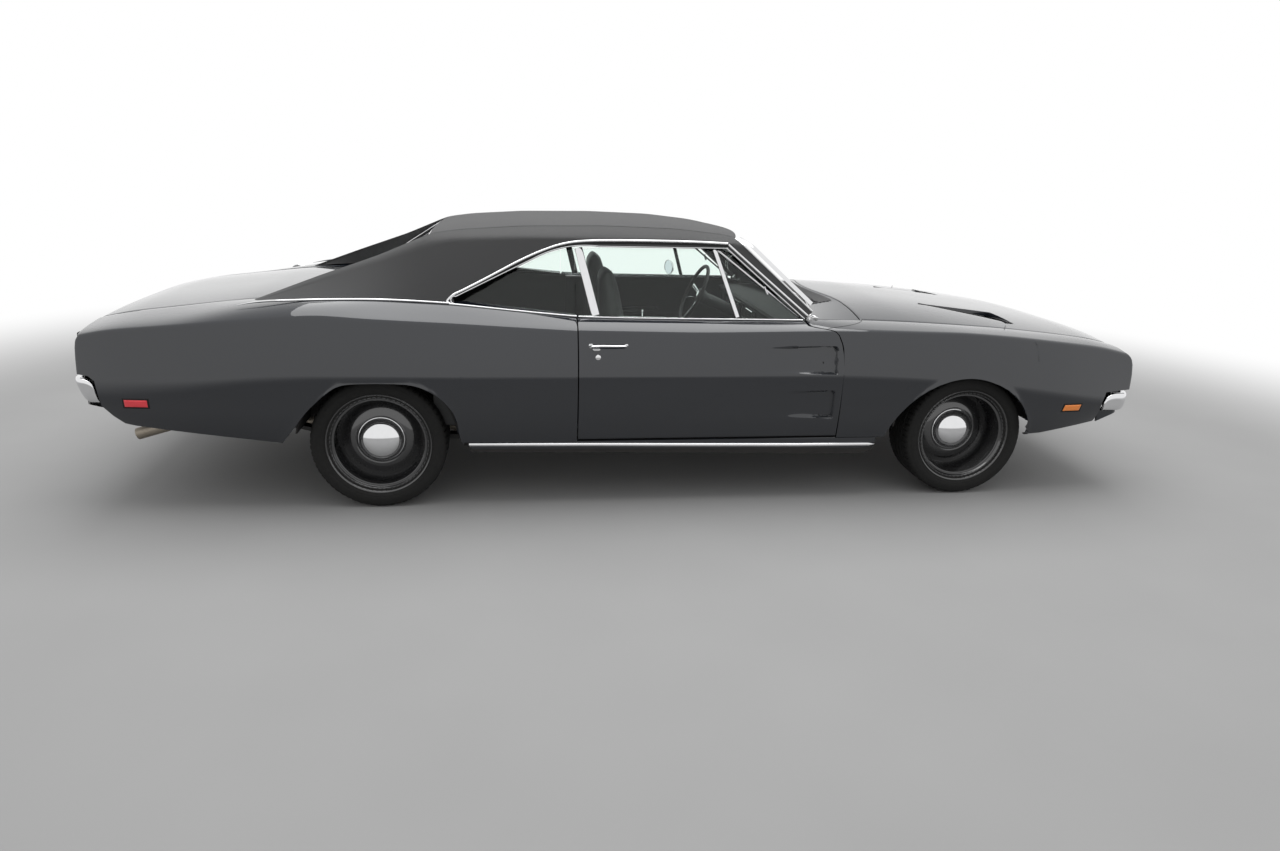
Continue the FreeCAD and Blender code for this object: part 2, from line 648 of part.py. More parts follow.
node("hood_hinges", pair(piece(fused(bracket, pin))))

trunk = crowned(DECK, -2574, -1648, size("trunk_half"), size("lid_wall"))
goose = outline((-1492, 958), (-1508, 958), (-1526, 866), (-1602, 832), (-1672, 900), (-1692, 975), (-1716, 975),
                (-1696, 888), (-1608, 812), (-1512, 852))
neck = side_prism(goose, 470, 482)
neck = neck.fuse(rod((TRUNK_PIN[0], 470, TRUNK_PIN[1]), (TRUNK_PIN[0], 482, TRUNK_PIN[1]), 14))
neck = neck.cut(rod((TRUNK_PIN[0], 460, TRUNK_PIN[1]), (TRUNK_PIN[0], 490, TRUNK_PIN[1]), PIN_R + RUN))
trunk = trunk.fuse([neck, neck.mirror(V(0, 0, 0), V(0, 1, 0))]).removeSplitter()
node("trunk_lid", trunk)
bracket = block(-1516, -1484, 483, 497, 944, 985).cut(deck)
pin = rod((TRUNK_PIN[0], 467, TRUNK_PIN[1]), (TRUNK_PIN[0], 484, TRUNK_PIN[1]), PIN_R)
node("trunk_hinges", pair(piece(fused(bracket, pin))))

# --------------------------------------------------------------------------------------------- the ends
def hoop(points, wall_points):
    """A wrap-round plan: its outside from one end to the other, then its inside back again."""
    return outline(points[0], *points[1:], *wall_points)


RING_TOP, RING_FOOT, RING_HALF = 748, 566, 826
GRILLE_TOP, GRILLE_FOOT, GRILLE_HALF = 725, 590, 800
both_fenders = [fender, fender.mirror(V(0, 0, 0), V(0, 1, 0))]
ring = block(2500, 2570, -RING_HALF, RING_HALF, RING_FOOT, RING_TOP)
ring = ring.cut(block(2490, 2580, -GRILLE_HALF, GRILLE_HALF, GRILLE_FOOT, GRILLE_TOP)).cut(both_fenders)
node("nose_panel", ring)
slab = block(2500, 2512, GAP - GRILLE_HALF, GRILLE_HALF - GAP, GRILLE_FOOT + GAP, GRILLE_TOP - GAP)
divider = block(2512, 2540, -26, 26, GRILLE_FOOT + GAP, GRILLE_TOP - GAP)
bars = [block(2512, 2528, GAP - GRILLE_HALF, GRILLE_HALF - GAP, z - 4, z + 4)
        for z in (605, 626, 647, 668, 689, 710)]
node("grille", fused(slab, divider, *bars))

NOSE, TAIL = HALF_LENGTH, -HALF_LENGTH
RAIL_END = size("front_rail_end")
BUMPER_FOOT, BUMPER_TOP = 454, 556
NOSE_CORNER, NOSE_SIDE = NOSE - 43.5, NOSE - 141.5
blade = plan_prism(hoop(
    ((NOSE_SIDE - 64, -904), (NOSE_SIDE, -898), ((NOSE_CORNER - 30, -868), (NOSE_CORNER, -790)),
     ((NOSE, 0), (NOSE_CORNER, 790)), ((NOSE_CORNER - 30, 868), (NOSE_SIDE, 898)), (NOSE_SIDE - 64, 904)),
    ((NOSE_SIDE - 64, 874), (NOSE_SIDE - 8, 868), ((NOSE_CORNER - 52, 842), (NOSE_CORNER - 30, 780)),
     ((NOSE - 32, 0), (NOSE_CORNER - 30, -780)), ((NOSE_CORNER - 52, -842), (NOSE_SIDE - 8, -868)),
     (NOSE_SIDE - 64, -874))), BUMPER_FOOT, BUMPER_TOP)
stays = [block(RAIL_END + GAP, NOSE_CORNER, side * 405, side * 455, BUMPER_FOOT + 2, 480) for _, side in SIDES]
node("front_bumper", fused(blade, *stays))
node("front_valance", plan_prism(hoop(
    ((NOSE_SIDE - 82, -878), (NOSE_SIDE - 10, -872), ((NOSE_CORNER - 58, -842), (NOSE_CORNER - 36, -770)),
     ((NOSE - 40, 0), (NOSE_CORNER - 36, 770)), ((NOSE_CORNER - 58, 842), (NOSE_SIDE - 10, 872)),
     (NOSE_SIDE - 82, 878)),
    ((NOSE_SIDE - 82, 866), (NOSE_SIDE - 14, 860), ((NOSE_CORNER - 68, 834), (NOSE_CORNER - 48, 764)),
     ((NOSE - 52, 0), (NOSE_CORNER - 48, -764)), ((NOSE_CORNER - 68, -834), (NOSE_SIDE - 14, -860)),
     (NOSE_SIDE - 82, -866))), 366, BUMPER_FOOT - GAP))

TAIL_X = -2574
tail = block(TAIL_X, TAIL_X + 22, -817, 817, 440, 836).cut(both_quarters)
plate_half = size("plate_bolts") / 2
node("tail_panel", tail.cut([rod((TAIL_X - 1, side * plate_half, 485), (TAIL_X + 23, side * plate_half, 485),
                                 size("plate_hole")) for _, side in SIDES]))
node("tail_lamps", pair(box("-2590", "-2574 - seat_gap", "90", "760", "690", "790")))
TAIL_CORNER, TAIL_SIDE = TAIL + 29.5, TAIL + 81.5
blade = plan_prism(hoop(
    ((TAIL_SIDE + 36, -892), (TAIL_SIDE, -888), ((TAIL_CORNER + 15, -866), (TAIL_CORNER, -806)),
     ((TAIL, 0), (TAIL_CORNER, 806)), ((TAIL_CORNER + 15, 866), (TAIL_SIDE, 888)), (TAIL_SIDE + 36, 892)),
    ((TAIL_SIDE + 36, 864), (TAIL_SIDE + 6, 860), ((TAIL_CORNER + 38, 844), (TAIL_CORNER + 27, 800)),
     ((TAIL + 28, 0), (TAIL_CORNER + 27, -800)), ((TAIL_CORNER + 38, -844), (TAIL_SIDE + 6, -860)),
     (TAIL_SIDE + 36, -864))), 527, 652)
stays = [block(TAIL_CORNER, TAIL_X - GAP, side * 460, side * 510, 560, 600) for _, side in SIDES]
node("rear_bumper", fused(blade, *stays))

# -------------------------------------------------------------------------------------------- structure
floor = box("floor_rear", "floor_front", "-floor_half", "floor_half", "floor_top - floor_wall", "floor_top")
tunnel = box("floor_rear", "floor_front", "-tunnel_half", "tunnel_half", "floor_top - floor_wall",
             "floor_top + tunnel_height")
hollow = box("floor_rear - 1", "floor_front + 1", "tunnel_wall - tunnel_half", "tunnel_half - tunnel_wall",
             "floor_top - floor_wall - 1", "floor_top + tunnel_height - tunnel_wall")
SILL = (("-866", "286"), ("1099", "246"), ("1152", "257"), ("1176", "300"), ("1172", "sill_top"),
        ("-866", "sill_top"))
sills = [padded(SILL, "floor_half", "sill_half"), padded(SILL, "-sill_half", "-floor_half")]
node("floor_pan", cut(fuse(floor, tunnel, *sills), hollow))

shelf = box("-1478", "-1216", "-590", "590", "955", "970")
bulkhead = box("-1232", "-1216", "-590", "590", "trunk_floor", "970")
kick = padded((("floor_rear - seat_gap", "floor_top - floor_wall"), ("floor_rear - seat_gap", "floor_top"),
               ("trunk_front", "trunk_floor"), ("trunk_rear", "trunk_floor"),
               ("trunk_rear", "trunk_floor - trunk_wall"), ("trunk_front - 6", "trunk_floor - trunk_wall")),
              "-592", "592")
rails = [box("trunk_rear", "trunk_front - 60", low, high, "trunk_floor - trunk_wall - rail_height",
             "trunk_floor - trunk_wall")
         for low, high in (("rail_inner", "rail_inner + rail_width"), ("-rail_inner - rail_width", "-rail_inner"))]


def wheelhouse(x, y, end, radius, foot):
    """Half a drum over a wheel, closed on its inner side."""
    outer = cylinder(x, y, "axle_height", f"{radius} + house_wall", f"({end}) - ({y})", "y")
    inner = cylinder(x, f"{y} + house_wall", "axle_height", radius, f"({end}) - ({y})", "y")
    below = box(f"{x} - 2 * {radius}", f"{x} + 2 * {radius}", f"{y} - 1", f"{end} + 1",
                f"axle_height - 2 * {radius}", foot)
    return cut(outer, inner, below)


tub = wheelhouse("(front_axle_x - wheelbase)", "592", "884", "tub_radius", "axle_height + 60")
node("rear_floor", fuse(shelf, bulkhead, kick, *rails, tub, mirrored(tub)))

wall = box("floor_front + seat_gap", "floor_front + 26", "-755", "755", "floor_top - floor_wall", "868")
side_wall = box("841", "floor_front + 26", "755", "775", "floor_top + seat_gap", "880")
hinge_post = box("door_front + door_gap + seat_gap", "floor_front + 26", "755", "855", "sill_top + seat_gap", "860")
half_wall = fuse(side_wall, hinge_post)
node("firewall", fuse(wall, half_wall, mirrored(half_wall)))

rail = box("floor_front + 26 + seat_gap", "front_rail_end", "front_rail_y", "front_rail_y + rail_width",
           "front_rail_z", "front_rail_z + front_rail_height")
apron = wheelhouse("front_axle_x", "(front_rail_y + rail_width)", "880", "apron_radius", "axle_height + 60")
support = box("support_x", "support_x + support_wall", "-700", "700", "front_rail_z", "support_top")
node("front_structure", fuse(rail, mirrored(rail), apron, mirrored(apron), support))

node("engine_block", box("engine_rear", "engine_rear + engine_length", "-engine_width / 2", "engine_width / 2",
                         "front_rail_z", "front_rail_z + engine_height"))
node("fuel_tank", box("tank_rear", "tank_rear + tank_length", "-tank_width / 2", "tank_width / 2",
                      "trunk_floor - trunk_wall - seat_gap - tank_height", "trunk_floor - trunk_wall - seat_gap"))

# ------------------------------------------------------------------------------------------- suspension
KNUCKLE_X, KNUCKLE_Y = "front_axle_x", "(front_wheel_y - kingpin_inset)"
KNUCKLE_FOOT, KNUCKLE_TOP = "(axle_height - 125)", "(axle_height + 125)"
cross = box("front_axle_x - 36", "front_axle_x + 36", "-460", "460", "front_rail_z - 80",
            "front_rail_z - seat_gap")
hanger = box("front_axle_x - 60", "front_axle_x + 60", "380", "424", "170", "front_rail_z - 70")
AXLE_X, PIVOT_Y = FRONT_AXLE, size("front_wheel_y") - size("kingpin_inset")
FOOT_Z, TOP_Z = AXLE_Z - 125, AXLE_Z + 125
lower = piece(plan_prism(outline((AXLE_X - 140, 400), (AXLE_X - 34, PIVOT_Y + 17), (AXLE_X + 34, PIVOT_Y + 17),
                                 (AXLE_X + 140, 400)), FOOT_Z - 25, FOOT_Z - GAP))
upper = piece(plan_prism(outline((AXLE_X - 110, 468 + GAP), (AXLE_X - 30, PIVOT_Y + 17),
                                 (AXLE_X + 30, PIVOT_Y + 17), (AXLE_X + 110, 468 + GAP)),
                         TOP_Z + GAP, TOP_Z + 24))
low_ball = cylinder(KNUCKLE_X, KNUCKLE_Y, f"{KNUCKLE_FOOT} - 12", "10", "52")
high_ball = cylinder(KNUCKLE_X, KNUCKLE_Y, f"{KNUCKLE_TOP} - 40", "10", "52")
low_side, high_side = fuse(hanger, lower, low_ball), fuse(upper, high_ball)
node("front_suspension", group(fuse(cross, low_side, mirrored(low_side)), high_side, mirrored(high_side)))


def stub(x, wheel_y, dish, start):
    """The spindle from a start to just inside the hub cap, with the brake's backing plate."""
    plate_y = f"({wheel_y} - hub_inset - wheel_gap - drum_wall)"
    end_y = f"({wheel_y} + rim_width / 2 - {dish} - 5)"
    spindle = cylinder(x, start, "axle_height", "spindle_radius", f"{end_y} - ({start})", "y")
    plate = cylinder(x, plate_y, "axle_height", "drum_radius", "drum_wall", "y")
    return fuse(spindle, plate)


upright = box("front_axle_x - 24", "front_axle_x + 24", f"{KNUCKLE_Y} - 25", f"{KNUCKLE_Y} + 21",
              KNUCKLE_FOOT, KNUCKLE_TOP)
low_bore = cylinder(KNUCKLE_X, KNUCKLE_Y, f"{KNUCKLE_FOOT} - 1", "10 + running_gap", "41 + running_gap")
high_bore = cylinder(KNUCKLE_X, KNUCKLE_Y, f"{KNUCKLE_TOP} - 40 - running_gap", "10 + running_gap",
                     "42 + running_gap")
left_knuckle = cut(fuse(upright, stub("front_axle_x", "front_wheel_y", "front_dish", KNUCKLE_Y)),
                   low_bore, high_bore)
node("knuckle_left", left_knuckle)
node("knuckle_right", mirrored(left_knuckle))

REAR_X = "(front_axle_x - wheelbase)"
tube = cylinder(REAR_X, "-(rear_wheel_y - hub_inset - wheel_gap)", "axle_height", "axle_tube",
                "2 * (rear_wheel_y - hub_inset - wheel_gap)", "y")
housing = cylinder(f"{REAR_X} - 110", "0", "axle_height", "axle_housing", "220", "x")
end = stub(REAR_X, "rear_wheel_y", "rear_dish", "600")
node("rear_axle", fuse(tube, housing, end, mirrored(end)))
SPRING = ((f"{REAR_X} - spring_reach", "384"), (f"{REAR_X} - spring_reach / 2", "306"),
          (REAR_X, "axle_height - axle_tube - seat_gap"),
          (f"{REAR_X} + spring_reach", "floor_top - floor_wall - 8"),
          (f"{REAR_X} + spring_reach", "floor_top - floor_wall - 24"),
          (REAR_X, "axle_height - axle_tube - spring_wall"), (f"{REAR_X} - spring_reach / 2", "284"),
          (f"{REAR_X} - spring_reach", "368"))
leaf = padded(SPRING, "spring_y - spring_width / 2", "spring_y + spring_width / 2")
front_eye = box(f"{REAR_X} + spring_reach - 60", f"{REAR_X} + spring_reach", "spring_y - spring_width / 2",
                "spring_y + spring_width / 2", "floor_top - floor_wall - 20", "floor_top - floor_wall - seat_gap")
shackle = box(f"{REAR_X} - spring_reach", f"{REAR_X} - spring_reach + 24", "spring_y - spring_width / 2",
              "spring_y + spring_width / 2", "370", "trunk_floor - trunk_wall - rail_height - seat_gap")
node("leaf_springs", pair(fuse(leaf, front_eye, shackle)))

ROUTE = ((1250, -230, 379.7), (1250, -230, 232), (1180, -230, 215), (880, -300, 215), (-900, -330, 218),
         (-1040, -330, 262), (-1150, -330, 424), (-1430, -330, 424), (-1580, -400, 306), (-1960, -430, 292),
         (-2120, -600, 346), (-2300, -600, 352), (-2478, -600, 300))
PIPE_R = size("pipe_radius")
runs = [rod(a, b, PIPE_R) for a, b in zip(ROUTE, ROUTE[1:])]
bends = [Part.makeSphere(PIPE_R, V(*point)) for point in ROUTE[1:-1]]
pipe = fused(*runs, *bends, block(-820, -250, -445, -215, 160, 252))
pipe = pipe.cut(rod((-2330, -600, 343.2), (-2495.1, -600, 295), PIPE_R - size("pipe_wall")))
node("exhaust", pair(piece(pipe)))

# ----------------------------------------------------------------------------------------------- wheels
for name, x, wheel_y, dish in (("front", "front_axle_x", "front_wheel_y", "front_dish"),
                               ("rear", REAR_X, "rear_wheel_y", "rear_dish")):
    edge, disc = "(rim_width / 2)", f"(rim_width / 2 - {dish})"
    barrel = "(seat_radius - flange_wall)"
    rim = turned((
        (f"-{edge}", "flange_radius"), (f"flange_wall - {edge}", "flange_radius"),
        (f"flange_wall - {edge}", "seat_radius"), (f"{edge} - flange_wall", "seat_radius"),
        (f"{edge} - flange_wall", "flange_radius"), (edge, "flange_radius"), (edge, barrel), (disc, barrel),
        (disc, "cap_radius"), (f"{disc} + 0.55 * cap_height", "0.8 * cap_radius"),
        (f"{disc} + 0.88 * cap_height", "0.45 * cap_radius"), (f"{disc} + cap_height", "0"),
        (f"{disc} - 3", "0"), (f"{disc} - 3", "spindle_radius + running_gap"),
        ("-hub_inset", "spindle_radius + running_gap"), ("-hub_inset", "hub_radius"),
        (f"{disc} - disc_wall", "hub_radius"), (f"{disc} - disc_wall", barrel), (f"-{edge}", barrel),
    ), x, wheel_y, "axle_height")
    bead, half = "(rim_width / 2 - flange_wall - seat_gap)", "(tyre_width / 2)"
    carcass = [
        (bead, "seat_radius + seat_gap"), (bead, "flange_radius + 2"), (half, "flange_radius + 16"),
        (half, "flange_radius + 30"), (f"{half} - 6", "tyre_radius - 14"), ("tread_width / 2", "tyre_radius")]
    inside = [
        (f"{bead} - tyre_wall", "seat_radius + seat_gap"), (f"{bead} - tyre_wall", "flange_radius + 6"),
        (f"{half} - tyre_wall", "flange_radius + 20"), (f"{half} - tyre_wall", "flange_radius + 30"),
        ("tread_width / 2 - 6", "tyre_radius - tyre_wall")]
    flip = [(f"-({a})", r) for a, r in carcass]
    inside_flip = [(f"-({a})", r) for a, r in inside]
    tyre = turned((*carcass, *reversed(flip), *inside_flip, *reversed(inside)), x, wheel_y, "axle_height")
    for label, thing in (("wheel", rim), ("tyre", tyre)):
        node(f"{label}_{name}_left", thing)
        node(f"{label}_{name}_right", mirrored(thing))

# --------------------------------------------------------------------------------------------- interior
dash = block(700, 940, GAP - 755, 755 - GAP, 700, 878)
node("dashboard", dash)
RIM_CENTRE = V(450, 350, 872)
AIM = V(0.912, 0, -0.41)
rim = Part.makeTorus(size("wheel_rim"), size("wheel_grip"), RIM_CENTRE, AIM)
column = Part.makeCylinder(size("column_radius"), 300, RIM_CENTRE, AIM)
spokes = [rod(RIM_CENTRE, RIM_CENTRE + V(0, side * size("wheel_rim"), 0), 9) for _, side in SIDES]
node("steering_wheel", fused(rim, column, *spokes).cut(dash))
SEAT = (("330", "floor_top + seat_gap"), ("330", "380"), ("400", "390"), ("410", "520"), ("380", "545"),
        ("0", "500"), ("-76", "560"), ("-84", "849"), ("-143", "1098"), ("-165", "1130"), ("-200", "1118"),
        ("-196", "849"), ("-196", "480"), ("-160", "380"), ("-20", "380"), ("-20", "floor_top + seat_gap"))
node("front_seats", pair(padded(SEAT, "seat_y - seat_half", "seat_y + seat_half")))
BENCH = (("-660", "floor_top + seat_gap"), ("-650", "500"), ("-690", "545"), ("-1010", "500"), ("-1110", "900"),
         ("-1150", "930"), ("-1216 + seat_gap", "925"), ("-1216 + seat_gap", "trunk_floor + seat_gap"),
         ("trunk_front", "trunk_floor + seat_gap"), ("floor_rear", "floor_top + seat_gap"))
saddle = box("floor_rear - 1", "-600", "-tunnel_half - seat_gap", "tunnel_half + seat_gap", "floor_top - 1",
             "floor_top + tunnel_height + seat_gap")
node("rear_seat", cut(padded(BENCH, "-560", "560"), saddle))
stem = rod((395, 866, 870), (395, 905, 945), 9)
head = block(374, 412, 884, 968, 926, 1006)
node("mirror_left", fused(stem, head).cut(door.mirror(V(0, 0, 0), V(0, 1, 0))))

# ----------------------------------------------------------------------------------------------- output
doc.recompute()
for thing in doc.Objects:
    if {"Invalid", "Error"} & set(thing.State):
        raise RuntimeError(f"{thing.Label} failed: {thing.State}")
os.makedirs("parts", exist_ok=True)
for thing in NODES:
    if thing.Shape.isNull() or not thing.Shape.isValid():
        raise RuntimeError(f"{thing.Label} has no valid shape")
for thing in NODES:
    thing.Shape.exportStep(f"parts/{thing.Label}.step")
    print(f"{thing.Label:20s} solids {len(thing.Shape.Solids)}  litres {thing.Shape.Volume / 1e6:8.2f}")
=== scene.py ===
"""Muscle car: the looks of a two-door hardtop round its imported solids. Lengths are in millimetres."""
import math

import bpy
import bmesh
import numpy as np
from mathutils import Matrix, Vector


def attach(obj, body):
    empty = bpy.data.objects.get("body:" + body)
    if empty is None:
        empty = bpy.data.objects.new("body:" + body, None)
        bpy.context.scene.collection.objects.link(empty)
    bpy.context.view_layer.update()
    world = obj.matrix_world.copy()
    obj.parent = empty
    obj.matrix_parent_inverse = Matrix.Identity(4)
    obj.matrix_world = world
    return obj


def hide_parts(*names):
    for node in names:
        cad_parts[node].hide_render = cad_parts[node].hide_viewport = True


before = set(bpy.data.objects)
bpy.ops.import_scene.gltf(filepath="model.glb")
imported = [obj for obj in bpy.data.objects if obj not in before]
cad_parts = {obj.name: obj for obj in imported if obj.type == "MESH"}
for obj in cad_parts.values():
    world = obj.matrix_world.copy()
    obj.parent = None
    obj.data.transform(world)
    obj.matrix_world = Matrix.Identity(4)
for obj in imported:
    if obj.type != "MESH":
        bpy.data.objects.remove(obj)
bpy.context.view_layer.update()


# Front fenders: two pressed steel skins between the doors and the nose, bolted to the aprons, painted a
# very dark blue-grey metallic. Each is one sheet whose lower edge follows the wheel's opening, with every
# edge turned in.
class Wire:
    """A value in a material. Arithmetic on it adds Math nodes, and node() adds any other kind of node."""

    def __init__(self, tree, socket=None):
        self.tree, self.socket = tree, socket

    def node(self, kind, out=0, settings=(), **inputs):
        """A node with its settings made first, then each socket's value or link. i6 means socket six."""
        made = self.tree.nodes.new("ShaderNode" + kind)
        for name, value in dict(settings).items():
            setattr(made, name, value)
        for name, value in inputs.items():
            key = int(name[1:]) if name[0] == "i" and name[1:].isdigit() else name.replace("_", " ")
            if isinstance(value, Wire):
                self.tree.links.new(value.socket, made.inputs[key])
            else:
                made.inputs[key].default_value = value
        return Wire(self.tree, made.outputs[out] if len(made.outputs) else None)

    def sum(self, operation, left, right):
        """One Math node."""
        return self.node("Math", settings={"operation": operation}, i0=left, i1=right)

    def __add__(self, other):
        return self.sum("ADD", self, other)

    def __sub__(self, other):
        return self.sum("SUBTRACT", self, other)

    def __rsub__(self, other):
        return self.sum("SUBTRACT", other, self)

    def __mul__(self, other):
        return self.sum("MULTIPLY", self, other)

    def __pow__(self, other):
        return self.sum("POWER", self, other)

    def __gt__(self, other):
        return self.sum("GREATER_THAN", self, other)

    __radd__, __rmul__ = __add__, __mul__

    def place(self):
        """Where the surface is on the object, in metres."""
        return self.node("TexCoord", out=3)

    def noise(self, scale, detail=2.0, place=None):
        """Soft random values from 0 to 1, with so many waves to a metre."""
        return self.node("TexNoise", Vector=place or self.place(), Scale=scale, Detail=detail)

    def between(self, share, first, second):
        """A mix of two colours."""
        return self.node("Mix", out=2, settings={"data_type": "RGBA"}, i0=share, i6=first, i7=second)

    def bump(self, height, depth):
        """A normal tilted by a height map, depth metres deep."""
        return self.node("Bump", Height=height, Distance=depth, Strength=1.0)

    def close(self, **inputs):
        """The surface itself."""
        return self.node("OutputMaterial", Surface=self.node("BsdfPrincipled", **inputs))


def finish(name):
    """A new material and the wire that builds it."""
    made = bpy.data.materials.new(name)
    made.use_nodes = True
    made.node_tree.nodes.clear()
    return made, Wire(made.node_tree)


paint, wire = finish("dark_metallic_paint")
flake = wire.noise(900.0, 1.0)
cloud = wire.noise(2.5, 2.0)
wire.close(
    Base_Color=wire.between(flake ** 3.0, (0.0045, 0.0062, 0.0100, 1), (0.015, 0.020, 0.030, 1)),
    Metallic=0.25, Roughness=0.30 + 0.05 * cloud, Coat_Weight=1.0, Coat_Roughness=0.015,
    Coat_IOR=1.68, Specular_IOR_Level=0.1)


def smooth(table, x, spread=90):
    """The table's columns at each x: the mean of straight-line readings up to two spreads either way,
    weighted by a bell, with the end rows carried on straight so that nothing shrinks there."""
    rows = np.array(sorted(table), float)
    head, tail = rows[0] - (rows[1] - rows[0]) * 9, rows[-1] + (rows[-1] - rows[-2]) * 9
    rows = np.vstack([head, rows, tail])
    steps = np.linspace(-2, 2, 17)
    weight = np.exp(-steps ** 2)
    near = np.asarray(x, float)[..., None] + steps * spread
    columns = [(np.interp(near, rows[:, 0], column) * weight).sum(-1) / weight.sum()
               for column in rows.T[1:]]
    return np.stack(columns, -1)


def lines(first, last, step, *close):
    """Grid lines about a step apart, crowded at each close place."""
    low, high = min(first, last), max(first, last)
    size = high - low
    even = np.linspace(low, high, int(abs(size) / step) + 2)
    extra = [place + offset * step for place in close for offset in (-0.5, -0.25, -0.1, 0.0, 0.1, 0.25, 0.5)]
    every = np.unique(np.round(np.concatenate([even, [e for e in extra if low < e < high]]), 6))
    keep = np.concatenate([[True], np.diff(every) > step * 0.04])
    keep[-1] = True
    every = every[keep]
    return every if first < last else every[::-1]


def normals(points, facing):
    """Unit normals of a grid: the cross product of its two directions, turned to face outwards."""
    across, along = np.gradient(points, axis=0), np.gradient(points, axis=1)
    made = np.cross(across, along)
    made /= np.maximum(np.linalg.norm(made, axis=-1, keepdims=True), 1e-9)
    return made * (1 if (made * np.asarray(facing, float)).sum() > 0 else -1)


def hemmed(points, facing, depth=14, curl=3, sides=(1, 1, 1, 1)):
    """A skin with its edges turned in. A line runs a curl inside each edge, the edge is dropped a little
    along the normal, and a flange as deep as the hem stands behind it."""
    normal = normals(points, facing)
    drops = []
    for axis in (0, 1):
        points, normal = np.moveaxis(points, axis, 0), np.moveaxis(normal, axis, 0)
        drop = np.zeros(len(points))
        for end in (0, 1):
            if sides[2 * axis + end]:
                step = points[1] - points[0]
                span = np.maximum(np.linalg.norm(step, axis=-1, keepdims=True), 1e-6)
                inside = points[0] + step * np.minimum(curl / span, 0.5)
                points = np.concatenate([points[:1], points[:1], inside[None], points[1:]])
                normal = np.concatenate([normal[:1], normal[:1], normal[:1], normal[1:]])
                drop = np.concatenate([[depth, 0.35 * curl, 0], drop[1:]])
            points, normal, drop = points[::-1], normal[::-1], drop[::-1]
        points, normal = np.moveaxis(points, 0, axis), np.moveaxis(normal, 0, axis)
        drops.append(drop)
    return points - normal * np.maximum(drops[0][:, None], drops[1][None, :])[..., None]


def piece(name, body, slot, surfaces, replaced=(), crease=38, mirror=False):
    """One mesh from grids of points. Each surface is (points, material, facing): facing is the side that it
    shows, None for a closed shell, or -1 for a tunnel seen from inside. mirror adds the other side."""
    rows, faces, shades, mats, start = [], [], [], [], 0
    if mirror:
        flip = np.array([1, -1, 1])
        surfaces = list(surfaces) + [(p * flip, m, f if np.ndim(f) == 0 else np.asarray(f) * flip)
                                     for p, m, f in surfaces]
    for points, material, facing in surfaces:
        n, m = points.shape[:2]
        a = (np.arange(n - 1)[:, None] * m + np.arange(m - 1)[None, :]).ravel()
        quads = np.stack([a, a + m, a + m + 1, a + 1], -1)
        flat = points.reshape(-1, 3)
        corner = flat[quads]
        area = np.cross(corner[:, 2] - corner[:, 0], corner[:, 3] - corner[:, 1])
        if np.ndim(facing) == 0:
            hint = (corner.mean(1) - flat.mean(0)) * (facing or 1)
        else:
            hint = np.asarray(facing, float)
        if (area * hint).sum() < 0:
            quads = quads[:, ::-1]
        if material not in mats:
            mats.append(material)
        rows.append(flat)
        faces.append(quads + start)
        shades.append(np.full(len(quads), mats.index(material)))
        start += len(flat)
    rows, faces, shades = np.concatenate(rows) / 1000, np.concatenate(faces), np.concatenate(shades)
    mesh = bpy.data.meshes.new(name)
    mesh.vertices.add(len(rows))
    mesh.vertices.foreach_set("co", rows.ravel())
    mesh.loops.add(len(faces) * 4)
    mesh.loops.foreach_set("vertex_index", faces.ravel())
    mesh.polygons.add(len(faces))
    mesh.polygons.foreach_set("loop_start", np.arange(len(faces)) * 4)
    mesh.polygons.foreach_set("loop_total", np.full(len(faces), 4))
    mesh.update(calc_edges=True)
    for material in mats:
        mesh.materials.append(material)
    mesh.polygons.foreach_set("material_index", shades.astype(np.int32))
    work = bmesh.new()
    work.from_mesh(mesh)
    bmesh.ops.remove_doubles(work, verts=work.verts, dist=2e-5)
    bmesh.ops.dissolve_degenerate(work, edges=work.edges, dist=1e-6)
    work.to_mesh(mesh)
    work.free()
    mesh.shade_smooth()
    mesh.set_sharp_from_angle(angle=math.radians(crease))
    made = bpy.data.objects.new(name, mesh)
    bpy.context.scene.collection.objects.link(made)
    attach(made, body)
    if replaced:
        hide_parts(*replaced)
    return made


# x, then distance from the centreline and height of the lower edge, widest line, shoulder and top edge.
SIDE = (
    (-352, 918, 335, 957, 656, 890, 878, 800, 926), (250, 916, 335, 950, 655, 888, 868, 800, 918),
    (810, 914, 335, 947, 655, 892, 880, 800, 914), (950, 914, 335, 948, 654, 896, 885, 760, 910),
    (1104, 914, 320, 950, 650, 900, 883, 722, 905), (1350, 914, 320, 953, 640, 903, 877, 722, 897),
    (1600, 913, 320, 955, 622, 903, 872, 722, 884), (1885, 908, 320, 951, 592, 896, 850, 722, 866),
    (2180, 896, 352, 935, 545, 880, 817, 722, 838), (2400, 878, 395, 910, 505, 858, 790, 722, 812),
    (2586, 850, 440, 878, 500, 846, 745, 722, 768))
CREASE = 15


